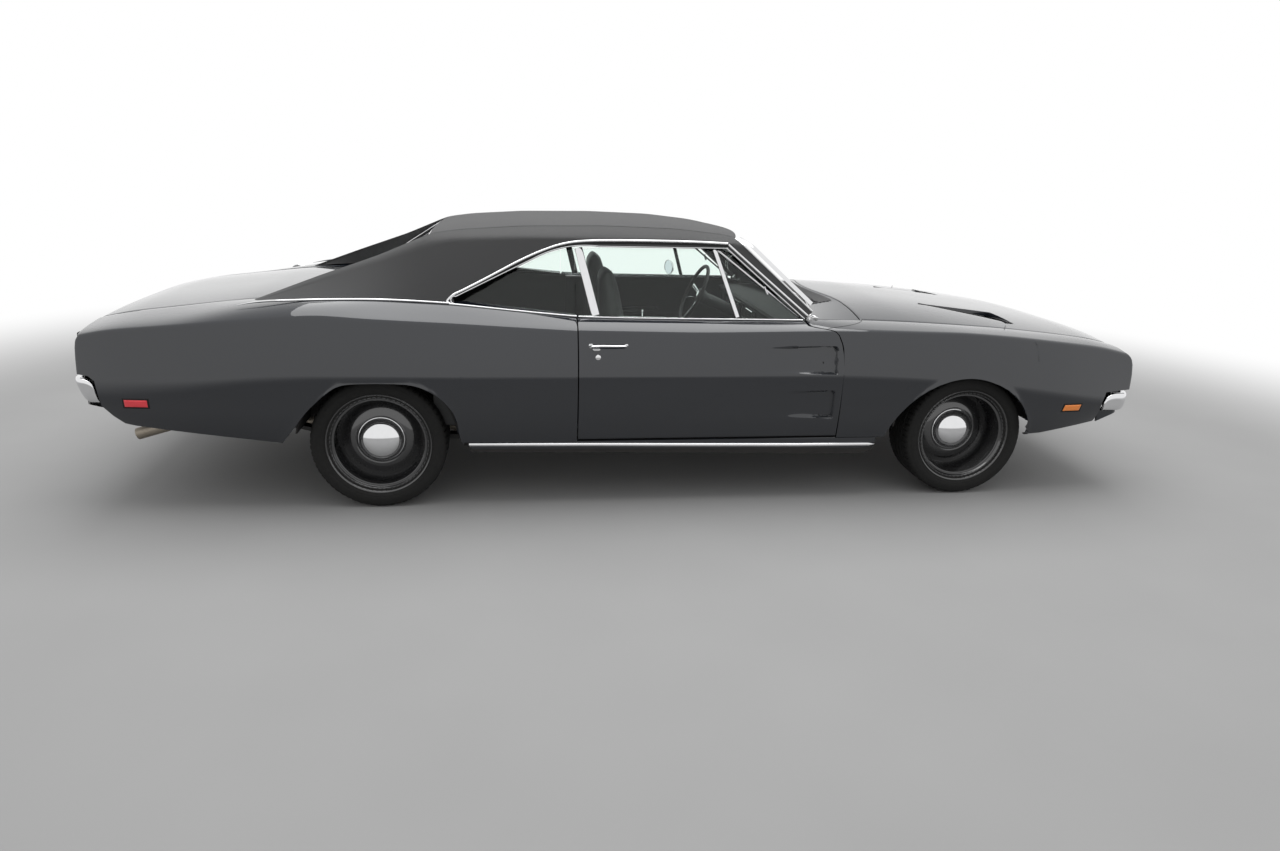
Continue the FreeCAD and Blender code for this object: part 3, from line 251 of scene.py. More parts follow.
def flank(table, x, level, crown=5):
    """The right side of the body. level counts the table's lines: 0 lower edge, 1 widest line, 2 shoulder,
    and on to the top edge. Below the widest line the side falls away as a square, above it as a power of
    1.7, the shoulder is a quadratic bend, and the top is a parabola through its lines."""
    x, level = np.broadcast_arrays(np.asarray(x, float), np.asarray(level, float))
    c = np.moveaxis(smooth(table, x), -1, 0)
    (low_y, low_z, wide_y, wide_z, sh_y, sh_z), rest = c[:6], c[6:]
    top_y, top_z = rest[0], rest[1]

    def lower(t):
        """From the lower edge to the widest line: a square."""
        return wide_y - (wide_y - low_y) * (1 - t) ** 2, low_z + t * (wide_z - low_z)

    def upper(t):
        """From the widest line to the shoulder: a power of 1.7."""
        return wide_y - (wide_y - sh_y) * np.abs(t) ** 1.7, wide_z + t * (sh_z - wide_z)

    def over(t):
        """From the shoulder to the top edge: an arch over a chord, or the parabola through three lines."""
        if len(rest) == 2:
            return sh_y + t * (top_y - sh_y), sh_z + t * (top_z - sh_z) + crown * 4 * t * (1 - t)
        a, b, d = (t - 1) * (t - 2) / 2, t * (2 - t), t * (t - 1) / 2
        return a * sh_y + b * top_y + d * rest[2], a * sh_z + b * top_z + d * rest[3]

    before = CREASE / np.hypot(wide_y - sh_y, sh_z - wide_z)
    after = CREASE / np.hypot(sh_y - top_y, top_z - sh_z)
    u = np.clip((level - 2 + before) / (before + after), 0, 1)
    (ay, az), (by, bz) = upper(1 - before), over(after)
    bend_y = (1 - u) ** 2 * ay + 2 * u * (1 - u) * sh_y + u ** 2 * by
    bend_z = (1 - u) ** 2 * az + 2 * u * (1 - u) * sh_z + u ** 2 * bz
    pick = [level < 1, level < 2 - before, level < 2 + after]
    parts = [lower(level), upper(level - 1), (bend_y, bend_z)]
    last = over(level - 2)
    return np.stack([x, -np.select(pick, [p[0] for p in parts], last[0]),
                     np.select(pick, [p[1] for p in parts], last[1])], -1)


def level_at(table, x, z):
    """The level, up to the shoulder, at which the side stands at height z."""
    c = np.moveaxis(smooth(table, np.asarray(x, float)), -1, 0)
    return np.where(z < c[3], (z - c[1]) / (c[3] - c[1]), 1 + (z - c[3]) / (c[5] - c[3]))


def path(*points, step=10):
    """Points along straight lines and arcs in the side view; (middle, end) in a pair is an arc."""
    made, here = [points[0]], points[0]
    for item in points[1:]:
        if isinstance(item[0], tuple):
            a, b, c = (np.array(p, float) for p in (here, *item))
            m = np.array([b - a, c - a])
            centre = a + np.linalg.solve(2 * m, (m ** 2).sum(1))
            angle = np.unwrap([math.atan2(*(p - centre)[::-1]) for p in (a, b, c)], period=2 * math.pi)
            if (angle[1] - angle[0]) * (angle[2] - angle[1]) < 0:
                angle[2] += 2 * math.pi * np.sign(angle[1] - angle[0])
            r = math.dist(a, centre)
            turn = np.linspace(angle[0], angle[2], max(3, int(abs(angle[2] - angle[0]) * r / step) + 1))[1:]
            made += [tuple(centre + r * np.array([math.cos(t), math.sin(t)])) for t in turn]
            here = item[1]
        else:
            count = max(2, int(math.dist(here, item) / step) + 1)
            made += [tuple(p) for p in np.linspace(here, item, count)[1:]]
            here = item
    return np.array(made, float)


def skirt(table, foot, level_mid, levels, rear, front):
    """A body side above a shaped lower edge. foot is the edge in the side view. Up to level_mid straight
    lines run from it to a level line, and above that each line of the grid keeps its level, between the
    panel's two ends rear(level) and front(level)."""
    start, end = rear(level_mid), front(level_mid)
    share = np.linspace(0, 1, len(foot))
    head = 0.88 * foot[:, 0] + 0.12 * (foot[0, 0] + share * (foot[-1, 0] - foot[0, 0]))
    head = start + (head - head[0]) * (end - start) / (head[-1] - head[0])
    base = level_at(table, foot[:, 0], foot[:, 1])
    v = lines(0, 1, 0.07, 0)[:, None]
    low_x, low_level = foot[:, 0] + v * (head - foot[:, 0]), base + v * (level_mid - base)
    spot = (head - start) / (end - start)
    high = np.asarray(levels)[:, None]
    ends = np.array([[rear(s), front(s)] for s in levels])
    high_x = ends[:, :1] + spot * (ends[:, 1:] - ends[:, :1])
    return np.concatenate([flank(table, low_x, low_level),
                           flank(table, high_x, np.broadcast_to(high, high_x.shape))])


AXLE_X, REAR_X, AXLE_Z = 1675.5, -1296.5, 320
FRONT_ARCH = ((AXLE_X - 462, AXLE_Z - 20), ((AXLE_X - 382, AXLE_Z + 165), (AXLE_X - 178, AXLE_Z + 308)),
              ((AXLE_X - 50, AXLE_Z + 330), (AXLE_X + 80, AXLE_Z + 306)),
              ((AXLE_X + 232, AXLE_Z + 215), (AXLE_X + 330, AXLE_Z + 60)), (AXLE_X + 320, AXLE_Z + 16))
fender_foot = path((962, 337), (1209, 337), (1216, 345), ((1293, 485), (1497.5, 628)), *FRONT_ARCH[2:],
                   (2087, 341), (2258, 371), (2396, 396), (2403, 424), (2412, 506), (2428, 560), (2579, 568))


def door_front(level, grow):
    """How far forward the door, or the gap's far side, reaches at a level."""
    z = np.interp(level, (0, 1, 2, 2.25, 3), (335, 654, 886, 894, 912))
    edge = np.interp(z, (300, 700, 770, 820, 860, 886, 892, 897, 912),
                     (956, 956, 952, 943, 928, 906, 825, 785, 772))
    return edge + grow * np.interp(z, (880, 892), (1, 2.5))


def nose_edge(level):
    """How far forward the fender's front edge stands at each level."""
    return float(np.interp(level, (1.3, 1.6, 1.8, 1.9, 2.0, 2.12, 3),
                           (2580, 2585, 2584, 2578, 2562, 2546, 2528)))


def lip(points, arch, facing_y):
    """The rolled lip round a wheel's opening: the skin swells by a bell of its distance from the edge."""
    gap = np.min(np.linalg.norm(points[..., None, [0, 2]] - arch[None, None], axis=-1), axis=-1)
    points[..., 1] += facing_y * 3.0 * np.exp(-(gap / 12) ** 2)
    return points


fender_levels = np.concatenate([lines(1.65, 1.9, 0.06), lines(1.92, 2.12, 0.03), lines(2.18, 3.0, 0.09)])
fender = skirt(SIDE, fender_foot, 1.6, fender_levels, lambda s: float(door_front(s, 6)), nose_edge)
front_arch = path((AXLE_X - 460, AXLE_Z + 16), *FRONT_ARCH[1:], step=12)
fender = lip(fender, front_arch, -1)
fender = hemmed(fender, (0, -1, 0.3), depth=16)
piece("fender_skins", "body", "body_paint", [(fender, paint, (0, -1, 0.3))], ("front_fenders",), mirror=True)


# Quarter panels: the long rear sides, welded from the doors to the tail, kicked up over the wheels and
# rolled over into the deck. The fuel filler's cap stands on the left one.
QUARTER = (
    (-2574, 862, 500, 880, 590, 862, 835, 780, 855, 596, 872),
    (-2450, 882, 462, 906, 575, 882, 866, 790, 885, 596, 900),
    (-2150, 903, 400, 938, 600, 905, 893, 796, 918, 596, 936),
    (-1960, 910, 375, 951, 628, 908, 908, 800, 948, 596, 960),
    (-1880, 913, 366, 956, 640, 910, 914, 800, 962, 596, 968),
    (-1600, 919, 335, 967, 658, 914, 928, 800, 996, 596, 984),
    (-1500, 920, 335, 970, 659, 913, 927, 800, 998, 596, 990),
    (-1280, 921, 335, 973, 660, 912, 925, 800, 1002, 740, 1002),
    (-935, 920, 335, 969, 658, 900, 902, 800, 986, 748, 986),
    (-352, 918, 335, 957, 656, 890, 878, 800, 926, 748, 926))
REAR_ARCH = ((REAR_X + 388, AXLE_Z + 16), (REAR_X + 378, AXLE_Z + 80), ((REAR_X + 318, AXLE_Z + 232),
             (REAR_X + 170, AXLE_Z + 308)), (REAR_X - 150, AXLE_Z + 306),
             ((REAR_X - 270, AXLE_Z + 218), (REAR_X - 352, AXLE_Z + 118)), (REAR_X - 392, AXLE_Z + 72),
             (REAR_X - 426, AXLE_Z + 26))
quarter_foot = path((-357, 337), *REAR_ARCH, (-2364, 427), (-2408, 437), (-2449, 474), (-2490, 525),
                    (-2504, 640), (-2530, 662), (-2579, 668))[::-1]
# Over the wheel the line is averaged along itself, then crowned by a parabola.
bell = np.hanning(17) / np.hanning(17).sum()
eased = np.stack([np.convolve(v, bell, "same") for v in quarter_foot.T], -1)
from_wheel = quarter_foot[:, 0] - REAR_X
near = np.abs(from_wheel) < 340
quarter_foot[near] = eased[near]
from_wheel = quarter_foot[:, 0] - REAR_X
quarter_foot[:, 1] += 15 * np.clip(1 - (from_wheel / 250) ** 2, 0, 1) * (quarter_foot[:, 1] > 480)


def tail_edge(level):
    """How far back the quarter's rear edge stands at each level."""
    return float(np.interp(level, (1.3, 1.6, 1.8, 1.9, 2.0, 2.1, 2.3, 4),
                           (-2579, -2577, -2574, -2570, -2562, -2556, -2560, -2572)))


quarter_levels = np.concatenate([lines(1.65, 1.9, 0.06), lines(1.92, 2.12, 0.03), lines(2.18, 4.0, 0.1)])
quarter = skirt(QUARTER, quarter_foot, 1.6, quarter_levels, tail_edge, lambda s: -357.0)
rear_arch = path(*REAR_ARCH, step=12)
quarter = lip(quarter, rear_arch, -1)
quarter = hemmed(quarter, (0, -1, 0.3), depth=16)
piece("quarter_skins", "body", "body_paint", [(quarter, paint, (0, -1, 0.3))], ("quarter_panels",),
      mirror=True)


# Doors: a pressed skin with two scoops behind its front edge, hemmed over an inner panel that carries
# padded vinyl trim. The two are closed all round by the painted shut faces.
def door_grid():
    """The door's skin: lines of equal level between its two ends, with the bottom line at one height. Each
    scoop sinks as a power of the way along it, and comes back up in a steep wall at its front."""
    low = lines(0, 1, 0.035, 0.345, 0.80)
    high = np.concatenate([lines(1.02, 1.92, 0.035, 1.09, 1.66), lines(1.935, 2.09, 0.02),
                           lines(2.12, 3.0, 0.08)])
    along = np.concatenate([lines(0, 0.88, 0.012), lines(0.884, 1, 0.004)])
    rows = []
    for level in np.concatenate([low, high]):
        end = float(door_front(level, 0))
        x = -351 + along * (end + 351)
        foot = level_at(SIDE, x, 347)
        rows.append(flank(SIDE, x, foot + (1 - foot) * level if level < 1 else np.full_like(x, level)))
    skin = np.array(rows)
    x, z = skin[..., 0], skin[..., 2]
    for top, bottom, rear, deep in ((810, 672, 440, 27), (592, 446, 560, 22)):
        edge = 910 - np.clip(z - top + 26, 0, 99) ** 2 / 50
        way = np.clip((x - rear) / (edge - rear), 0, 1)
        wall = np.clip((edge + 20 - x) / 20, 0, 1)
        wall = wall * wall * (3 - 2 * wall)
        under = np.clip((top - z) / (6 + 22 * (1 - way)), 0, 1)
        height = under * np.clip((z - bottom) / (5 + 40 * (1 - way)), 0, 1)
        ease = height * height * (3 - 2 * height)
        skin[..., 1] += deep * way ** 1.6 * wall * ease
    return skin


door_skin = door_grid()
outer = hemmed(door_skin, (0, -1, 0.3), depth=8)
inner = door_skin.copy()
inner[..., 1] = -np.interp(door_skin[..., 2], (346, 655, 870, 926), (826, 842, 792, 752))
inner[..., 2] = np.minimum(inner[..., 2], 914) - 2
trim, wire = finish("black_vinyl_trim")
grain = wire.noise(420.0, 3.0)
wire.close(Base_Color=wire.between(wire.noise(30.0), (0.012, 0.012, 0.013, 1), (0.020, 0.020, 0.021, 1)),
           Roughness=0.42 + 0.2 * grain, Normal=wire.bump(grain, 0.0006))


def resampled(line, count):
    """A line's points spread evenly along it."""
    way = np.concatenate([[0], np.cumsum(np.linalg.norm(np.diff(line, axis=0), axis=1))])
    spots = np.linspace(0, way[-1], count)
    return np.stack([np.interp(spots, way, line[:, k]) for k in range(3)], -1)


def shut_face(outer, inner, count=90):
    """The walls between a skin's border and the inner panel's: four strips of straight lines."""
    made = []
    for a, b in zip((outer[0], outer[:, -1], outer[-1], outer[:, 0]),
                    (inner[0], inner[:, -1], inner[-1], inner[:, 0])):
        made.append(np.stack([resampled(a, count), resampled(b, count)]))
    return made


walls = shut_face(outer, inner)
for hand, body, node in ((1, "door_right", "door_right"), (-1, "door_left", "door_left")):
    flip = np.array([1, hand, 1])
    outs = [(outer * flip, paint, (0, -hand, 0.3)), (inner * flip, trim, (0, hand, 0))]
    for strip, way in zip(walls, ((0, 0, -1), (1, 0, 0), (0, 0, 1), (-1, 0, 0))):
        outs.append((strip * flip, paint, way))
    piece(body + "_shell", body, "body_paint", outs, (node,))


# Hood: one wide pressed panel hinged at its rear edge, with two long wedge-shaped scoops that sink forwards
# to dark louvred vents. The vents' black is partly painted shade along the scoops' inner and front walls.
# Its inner panel follows the skin.
HOOD = ((960, 912, 968), (1104, 905, 965), (1350, 897, 955), (1600, 884, 931), (1885, 866, 899),
        (2180, 838, 865), (2400, 812, 836), (2520, 785, 812), (2625, 752, 780))
DECK = ((-2574, 872, 886), (-2450, 900, 914), (-2150, 936, 950), (-1900, 965, 980), (-1620, 983, 998),
        (-1480, 991, 1006))
SCOOP_Y, SCOOP_OUT, SCOOP_TIP, SCOOP_WALL, SCOOP_DEEP = 318, 612, 0.335, 0.638, 30


def crown(table, x, y, half):
    """A lid's height: its crown, less the fall to its edge as the power 2.9 of the distance out."""
    c = smooth(table, x, 60)
    return c[..., 1] - (c[..., 1] - c[..., 0]) * np.minimum(np.abs(y) / half, 1.1) ** 2.9


def hood_rear(y):
    """The x of the hood's rear edge: swept back towards the middle."""
    return np.interp(np.abs(y), (0, 100, 200, 320, 420, 560, 716),
                     (1040, 1045, 1058, 1084, 1099, 1105, 1106))


def hood_front(y):
    """The x of the hood's front edge: a parabola that falls back 70 at the sides."""
    return 2598 - 70 * (np.abs(y) / 716) ** 2


y = lines(-716, 716, 16, -SCOOP_OUT, -SCOOP_Y, SCOOP_Y, SCOOP_OUT)[None, :]
u = lines(0, 1, 0.012, SCOOP_WALL, 0.985)[:, None]
rear, front = hood_rear(y), hood_front(y)
x = rear + u * (front - rear)
sink = np.clip((u - SCOOP_TIP) / (SCOOP_WALL - SCOOP_TIP), 0, 1) * (u <= SCOOP_WALL)
sink = np.clip(sink - (np.abs(y) - SCOOP_Y) / (SCOOP_OUT - SCOOP_Y), 0, 1) * (np.abs(y) >= SCOOP_Y)
nose_drop = 6 * np.clip((u - 0.97) / 0.03, 0, 1) ** 2
hood = np.stack([x, y + 0 * x, crown(HOOD, x, y, 716) - SCOOP_DEEP * sink - nose_drop], -1)


def shell(outer, thick, facing=(0, 0, 1), depth=8):
    """The surfaces of a lid: the hemmed skin, an inner panel below it, and the walls between."""
    inner = outer - np.array([0, 0, thick])
    skin = hemmed(outer, facing, depth=depth)
    ways = ((-1, 0, 0), (0, 1, 0), (1, 0, 0), (0, -1, 0))
    if outer[0, 0, 0] > outer[-1, 0, 0]:
        ways = (ways[2], ways[1], ways[0], ways[3])
    made = [(skin, paint, facing), (inner, paint, (0, 0, -1))]
    return made + [(strip, paint, way) for strip, way in zip(shut_face(skin, inner, 60), ways)]


def prism(outline, axis, low, high, curl=1.0):
    """A closed block: an outline carried along one axis, its ends drawn in to a point past a bevel."""
    outline = np.asarray(outline, float)
    middle = outline.mean(0)
    span = np.abs(outline - middle).max()
    small = middle + (outline - middle) * (1 - curl / span)
    rows = [(middle + 0 * outline, low), (small, low), (outline, low + curl), (outline, high - curl),
            (small, high), (middle + 0 * outline, high)]
    made = []
    for flat, height in rows:
        ring = np.insert(flat, axis, height, axis=1)
        made.append(np.concatenate([ring, ring[:1]]))
    return np.array(made)


def box(x0, x1, y0, y1, z0, z1, curl=2.0):
    """A block with small bevels, as a prism along y."""
    return prism([(x0 + curl, z0), (x1 - curl, z0), (x1, z0 + curl), (x1, z1 - curl),
                  (x1 - curl, z1), (x0 + curl, z1), (x0, z1 - curl), (x0, z0 + curl)], 1, y0, y1, curl)


vent_black, wire = finish("louvre_black")
wire.close(Base_Color=wire.between(wire.noise(80.0), (0.010, 0.010, 0.011, 1), (0.018, 0.018, 0.019, 1)),
           Roughness=0.45 + 0.1 * wire.noise(300.0))
lug = [(1046, 900), (1066, 896), (1110, 935), (1052, 935)]
outs = shell(hood, 20)
outs += [(prism(lug, 1, 343, 355), vent_black, None), (prism(lug, 1, -355, -343), vent_black, None)]


def on_hood(u, y, rise):
    """A point over the hood's scoop floor, at a share of the hood's length and a distance out."""
    x = hood_rear(y) + u * (hood_front(y) - hood_rear(y))
    deep = np.clip((u - SCOOP_TIP) / (SCOOP_WALL - SCOOP_TIP), 0, 1)
    deep = deep - (np.abs(y) - SCOOP_Y) / (SCOOP_OUT - SCOOP_Y)
    return np.stack([x, y, crown(HOOD, x, y, 716) - SCOOP_DEEP * np.clip(deep, 0, 1) + rise], -1)


# Black louvred strips along each scoop's inner and front walls: partly the vents' louvres, and partly
# painted shade, laid dark where the shade of the walls falls.
u, v = np.meshgrid(lines(SCOOP_TIP + 0.01, SCOOP_WALL - 0.0015, 0.0022), np.linspace(0, 1, 9), indexing="ij")
widest = 0.8 * (SCOOP_OUT - SCOOP_Y) * (u - SCOOP_TIP) / (SCOOP_WALL - SCOOP_TIP)
width = np.minimum(34 * np.clip((u - SCOOP_TIP) / 0.10, 0, 1), widest)
ridge = 2.5 + 2.5 * np.cos(v * 6 * np.pi) * (np.abs(v - 0.5) < 0.5)
inner_louvre_and_shade = on_hood(u, SCOOP_Y + 1 + v * width, ridge)
u, v = np.meshgrid(np.linspace(SCOOP_WALL - 0.001, SCOOP_WALL - 0.028, 13), np.linspace(0, 1, 60),
                   indexing="ij")
ridge = 3.5 + 2.5 * np.cos((u - SCOOP_WALL) / 0.027 * 6 * np.pi)
front_louvre_and_shade = on_hood(u, SCOOP_Y + 1 + v * (SCOOP_OUT - SCOOP_Y) * 0.93, ridge)
for strip in (inner_louvre_and_shade, front_louvre_and_shade):
    outs += [(strip, vent_black, (0, 0, 1)), (strip * np.array([1, -1, 1]), vent_black, (0, 0, 1))]
piece("hood_shell", "hood", "body_paint", outs, ("hood",))


# Cowl: the panel between the windscreen and the hood, with the air inlet's louvres across its middle and a
# seam to each fender. It is pressed steel, painted and welded to the firewall.
y = np.linspace(-735, 735, 61)[None, :]
u = lines(0, 1, 0.05, 0, 1)[:, None]
bow = 1 - (y / 735) ** 2
back_x, back_z = 815 + 150 * bow, 905 + 27 * bow
front_x = hood_rear(y) - 6
front_z = crown(HOOD, front_x, y, 716) - 1
cowl = np.stack([back_x + u * (front_x - back_x), y + 0 * u, back_z + u * (front_z - back_z) + 0 * y], -1)
inlet_y, inlet_u = np.meshgrid(np.linspace(-392, 392, 41), np.linspace(0.10, 0.86, 97))
bow = 1 - (inlet_y / 735) ** 2
back_x, front_x = 815 + 150 * bow, hood_rear(inlet_y) - 6
back_z, front_z = 905 + 27 * bow, crown(HOOD, front_x, inlet_y, 716) - 1
tooth = (inlet_u * 8) % 1
louvre = 1 + 3 * np.abs(tooth - 0.2)
inlet = np.stack([back_x + inlet_u * (front_x - back_x), inlet_y,
                  back_z + inlet_u * (front_z - back_z) + louvre], -1)
piece("cowl_skin", "body", "body_paint",
      [(hemmed(cowl, (0, 0, 1), depth=16), paint, (0, 0, 1)), (inlet, vent_black, (0, 0, 1))],
      ("cowl_panel",))


# Deck: the fixed panel under the rear window, welded between the quarters, and the trunk lid behind it,
# whose tail edge turns down over the lamps. Both are pressed steel. The lid hangs on two goosenecks.
def deck_grid(first, last):
    """The crowned deck between two places along the car."""
    y, x = np.meshgrid(np.linspace(-589, 589, 49), lines(first, last, 18, first, last))
    return np.stack([x, y, crown(DECK, x, y, 590)], -1)


piece("rear_deck_skin", "body", "body_paint",
      [(hemmed(deck_grid(-1642, -1482), (0, 0, 1), depth=14), paint, (0, 0, 1))], ("rear_deck_panel",))
lid = deck_grid(-2574, -1648)
lid[..., 2] -= 9 * np.clip((-2556 - lid[..., 0]) / 18, 0, 1) ** 2
goose = [(-1492, 958), (-1508, 958), (-1526, 866), (-1602, 832), (-1672, 900), (-1692, 975), (-1716, 975),
         (-1696, 888), (-1608, 812), (-1512, 852)]
goose_skin = []
for y in (-482, 470):
    left, right = np.array(goose[:6]), np.array([goose[k] for k in (0, 9, 8, 7, 6, 6)])
    ring = np.stack([np.insert(left, 1, y, 1), np.insert(left, 1, y + 12, 1), np.insert(right, 1, y + 12, 1),
                     np.insert(right, 1, y, 1), np.insert(left, 1, y, 1)], 1)
    goose_skin.append((ring, vent_black, None))
piece("trunk_shell", "trunk_lid", "body_paint", shell(lid, 20) + goose_skin, ("trunk_lid",))


# Roof and sails: steel covered in matt charcoal vinyl with a fine grain. The roof lies between two welted
# seams, and each side runs from the windscreen pillar over the windows to the long sail behind, which
# stands on the quarter panel.
vinyl, wire = finish("roof_vinyl")
pores = wire.node("TexVoronoi", Vector=wire.place(), Scale=900.0)
folds = wire.noise(260.0, 4.0)
wire.close(Base_Color=wire.between(folds, (0.0115, 0.0118, 0.0125, 1), (0.024, 0.0245, 0.0255, 1)),
           Roughness=0.46 + 0.22 * folds, Normal=wire.bump(0.6 * pores + folds, 0.0005))
lining, wire = finish("headlining")
wire.close(Base_Color=wire.between(wire.noise(60.0), (0.016, 0.016, 0.017, 1), (0.03, 0.03, 0.031, 1)),
           Roughness=0.8 + 0.1 * wire.noise(200.0))
ROOF = (
    (-1886, 700, 958, 640, 962, 604, 1000), (-1580, 664, 1056, 604, 1078, 604, 1100),
    (-1290, 656, 1160, 592, 1182, 604, 1200), (-1044, 662, 1258, 578, 1288, 660, 1296),
    (-900, 665, 1270, 572, 1308, 748, 1324), (-600, 666, 1275, 566, 1330, 748, 1344),
    (-200, 666, 1277, 562, 1338, 748, 1351), (150, 664, 1275, 560, 1330, 748, 1344),
    (400, 660, 1270, 558, 1306, 748, 1320), (500, 656, 1262, 556, 1284, 748, 1300),
    (830, 648, 1240, 545, 1270, 748, 1290))


def roof_grid(drop=0.0, inset=0.0):
    """The roof between its seams: its crown, less the fall to the seam as the cube of the distance out."""
    share, u = np.linspace(-1, 1, 41)[None, :], lines(0, 1, 0.02, 0, 1)[:, None]
    rear, front = -1052 - 12 * (1 - share ** 2) + inset, 460 + 88 * (1 - share ** 2) - inset
    x = rear + u * (front - rear)
    c = smooth(ROOF, x, 40)
    y = share * (c[..., 2] - 1)
    z = c[..., 5] - (c[..., 5] - c[..., 3]) * np.abs(share) ** 3
    z = z - 5 * np.clip((u - 0.97) / 0.03, 0, 1) ** 2 - 4 * np.clip((0.02 - u) / 0.02, 0, 1) ** 2
    return np.stack([x, y, z - drop], -1)


roof, under = roof_grid(), roof_grid(30, 6)
outs = [(hemmed(roof, (0, 0, 1), depth=8), vinyl, (0, 0, 1)), (under, lining, (0, 0, -1))]
for strip, way in zip(shut_face(roof - (0, 0, 6), under, 60),
                      ((-1, 0, 0), (0, 1, 0), (1, 0, 0), (0, -1, 0))):
    outs.append((strip, vinyl, way))
piece("roof_skin", "body", "vinyl_roof", outs, ("roof_panel",))


def frame_side(x, z, inside=False):
    """Distance from the centreline of the roof side at a place in the side view: a straight lean up to the
    rail, then in to the seam as a power of 1.6. The inside runs straight from its foot to the seam."""
    c = np.moveaxis(smooth(ROOF, x, 40), -1, 0)
    foot = np.where(x < -346, smooth(QUARTER, np.minimum(x, -346), 60)[..., 7] - 8, 908)
    if inside:
        t = np.clip((z - foot) / np.maximum(c[3] - 14 - foot, 4), 0, 1)
        return c[4] + (c[2] + 4 - c[4]) * t
    t = np.clip((z - foot) / np.maximum(c[1] - foot, 4), 0, 1)
    top = np.clip((z - c[1]) / np.maximum(c[3] - c[1], 4), 0, 1)
    return 800 - (800 - c[0]) * t + 5 * t * (1 - t) - (c[0] - c[2]) * top ** 1.6


low = path((-1884, 966), (-1740, 985), (-1600, 994), (-1440, 999), (-1290, 1000), (-1100, 994), (-1000, 988),
           (-926, 982), ((-944, 996), (-922, 1014)), (-560, 1186), ((-430, 1234), (-240, 1246)), (398, 1246),
           (782, 919), step=16)
way = np.concatenate([[0], np.cumsum(np.linalg.norm(np.diff(low, axis=0), axis=1))])
corners = ((-1884, 966), (-1600, 994), (-1290, 1000), (-1000, 988), (-922, 1014), (-560, 1186), (-240, 1246),
           (398, 1246), (782, 919))
keys = [way[np.argmin(np.linalg.norm(low - corner, axis=1))] for corner in corners]
high_x = np.interp(way, keys, (-1886, -1580, -1290, -1090, -1000, -620, -240, 460, 826))
high_z = np.where(way > keys[-2], np.interp(way, keys[-2:], (1290, 955)),
                  smooth(ROOF, high_x, 40)[:, 3] - 0.5)
v = lines(0, 1, 0.06, 0, 1)[:, None]
x, z = low[:, 0] + v * (high_x - low[:, 0]), low[:, 1] + v * (high_z - low[:, 1])
sail = np.stack([x, -frame_side(x, z), z], -1)
sail_in = np.stack([x, -frame_side(x, z, True), z], -1)
outs = [(sail, vinyl, (0, -1, 0)), (sail_in, lining, (0, 1, 0))]
dark = [(np.stack([a, b]), m, f) for a, b, m, f in (
    (sail[0], sail_in[0], lining, (0, 0, -1)), (sail[:, -1], sail_in[:, -1], vinyl, (1, 0, -0.3)),
    (sail[-1], sail_in[-1], vinyl, (0, 0, 1)))]
piece("side_frame_skins", "body", "vinyl_roof", outs + dark, ("side_frames",), crease=50, mirror=True)


# Glass: the curved windscreen and rear window, bonded in, and flat side panes that slide in the doors. All
# of it is glass with a faint green tint, laid on the solids themselves.
glass, wire = finish("green_tinted_glass")
gloss = wire.node("BsdfGlossy", Color=(1, 1, 1, 1), Roughness=0.01)
clear = wire.node("BsdfTransparent", Color=(0.965, 0.998, 0.983, 1))
share = wire.node("Fresnel", IOR=1.32)
wire.node("OutputMaterial", Surface=wire.node("MixShader", i0=share, i1=clear, i2=gloss))
for name in ("fixed_windows", "door_glass_right", "door_glass_left"):
    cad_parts[name].data.materials.clear()
    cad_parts[name].data.materials.append(glass)


# Bright mouldings: polished steel strips round the side windows, along the belt, at the sails' feet, round
# the windscreen and the rear window, and down the rockers. Each is a half-round strip clipped to its panel.
chrome, wire = finish("polished_chrome")
wire.close(Base_Color=wire.between(wire.noise(40.0), (0.74, 0.745, 0.75, 1), (0.80, 0.80, 0.81, 1)),
           Metallic=1.0,
           Roughness=0.05 + 0.05 * wire.noise(18.0, 3.0))
rubber, wire = finish("black_rubber")
wire.close(Base_Color=wire.between(wire.noise(90.0), (0.010, 0.010, 0.010, 1), (0.017, 0.017, 0.017, 1)),
           Roughness=0.62 + 0.15 * wire.noise(260.0),
           Specular_IOR_Level=0.2)


def curve(points, step=14):
    """A smooth line through points: cubic pieces, each point's slope taken from its two neighbours."""
    p = np.asarray(points, float)
    way = np.concatenate([[0], np.cumsum(np.linalg.norm(np.diff(p, axis=0), axis=1))])
    slope = np.gradient(p, way, axis=0)
    s = np.linspace(0, way[-1], max(int(way[-1] / step), 2) + 1)
    i = np.clip(np.searchsorted(way, s, side="right") - 1, 0, len(way) - 2)
    h = (way[i + 1] - way[i])[:, None]
    q = (s - way[i])[:, None] / h
    return ((2 * q ** 3 - 3 * q ** 2 + 1) * p[i] + (q ** 3 - 2 * q ** 2 + q) * h * slope[i]
            + (3 * q ** 2 - 2 * q ** 3) * p[i + 1] + (q ** 3 - q ** 2) * h * slope[i + 1])


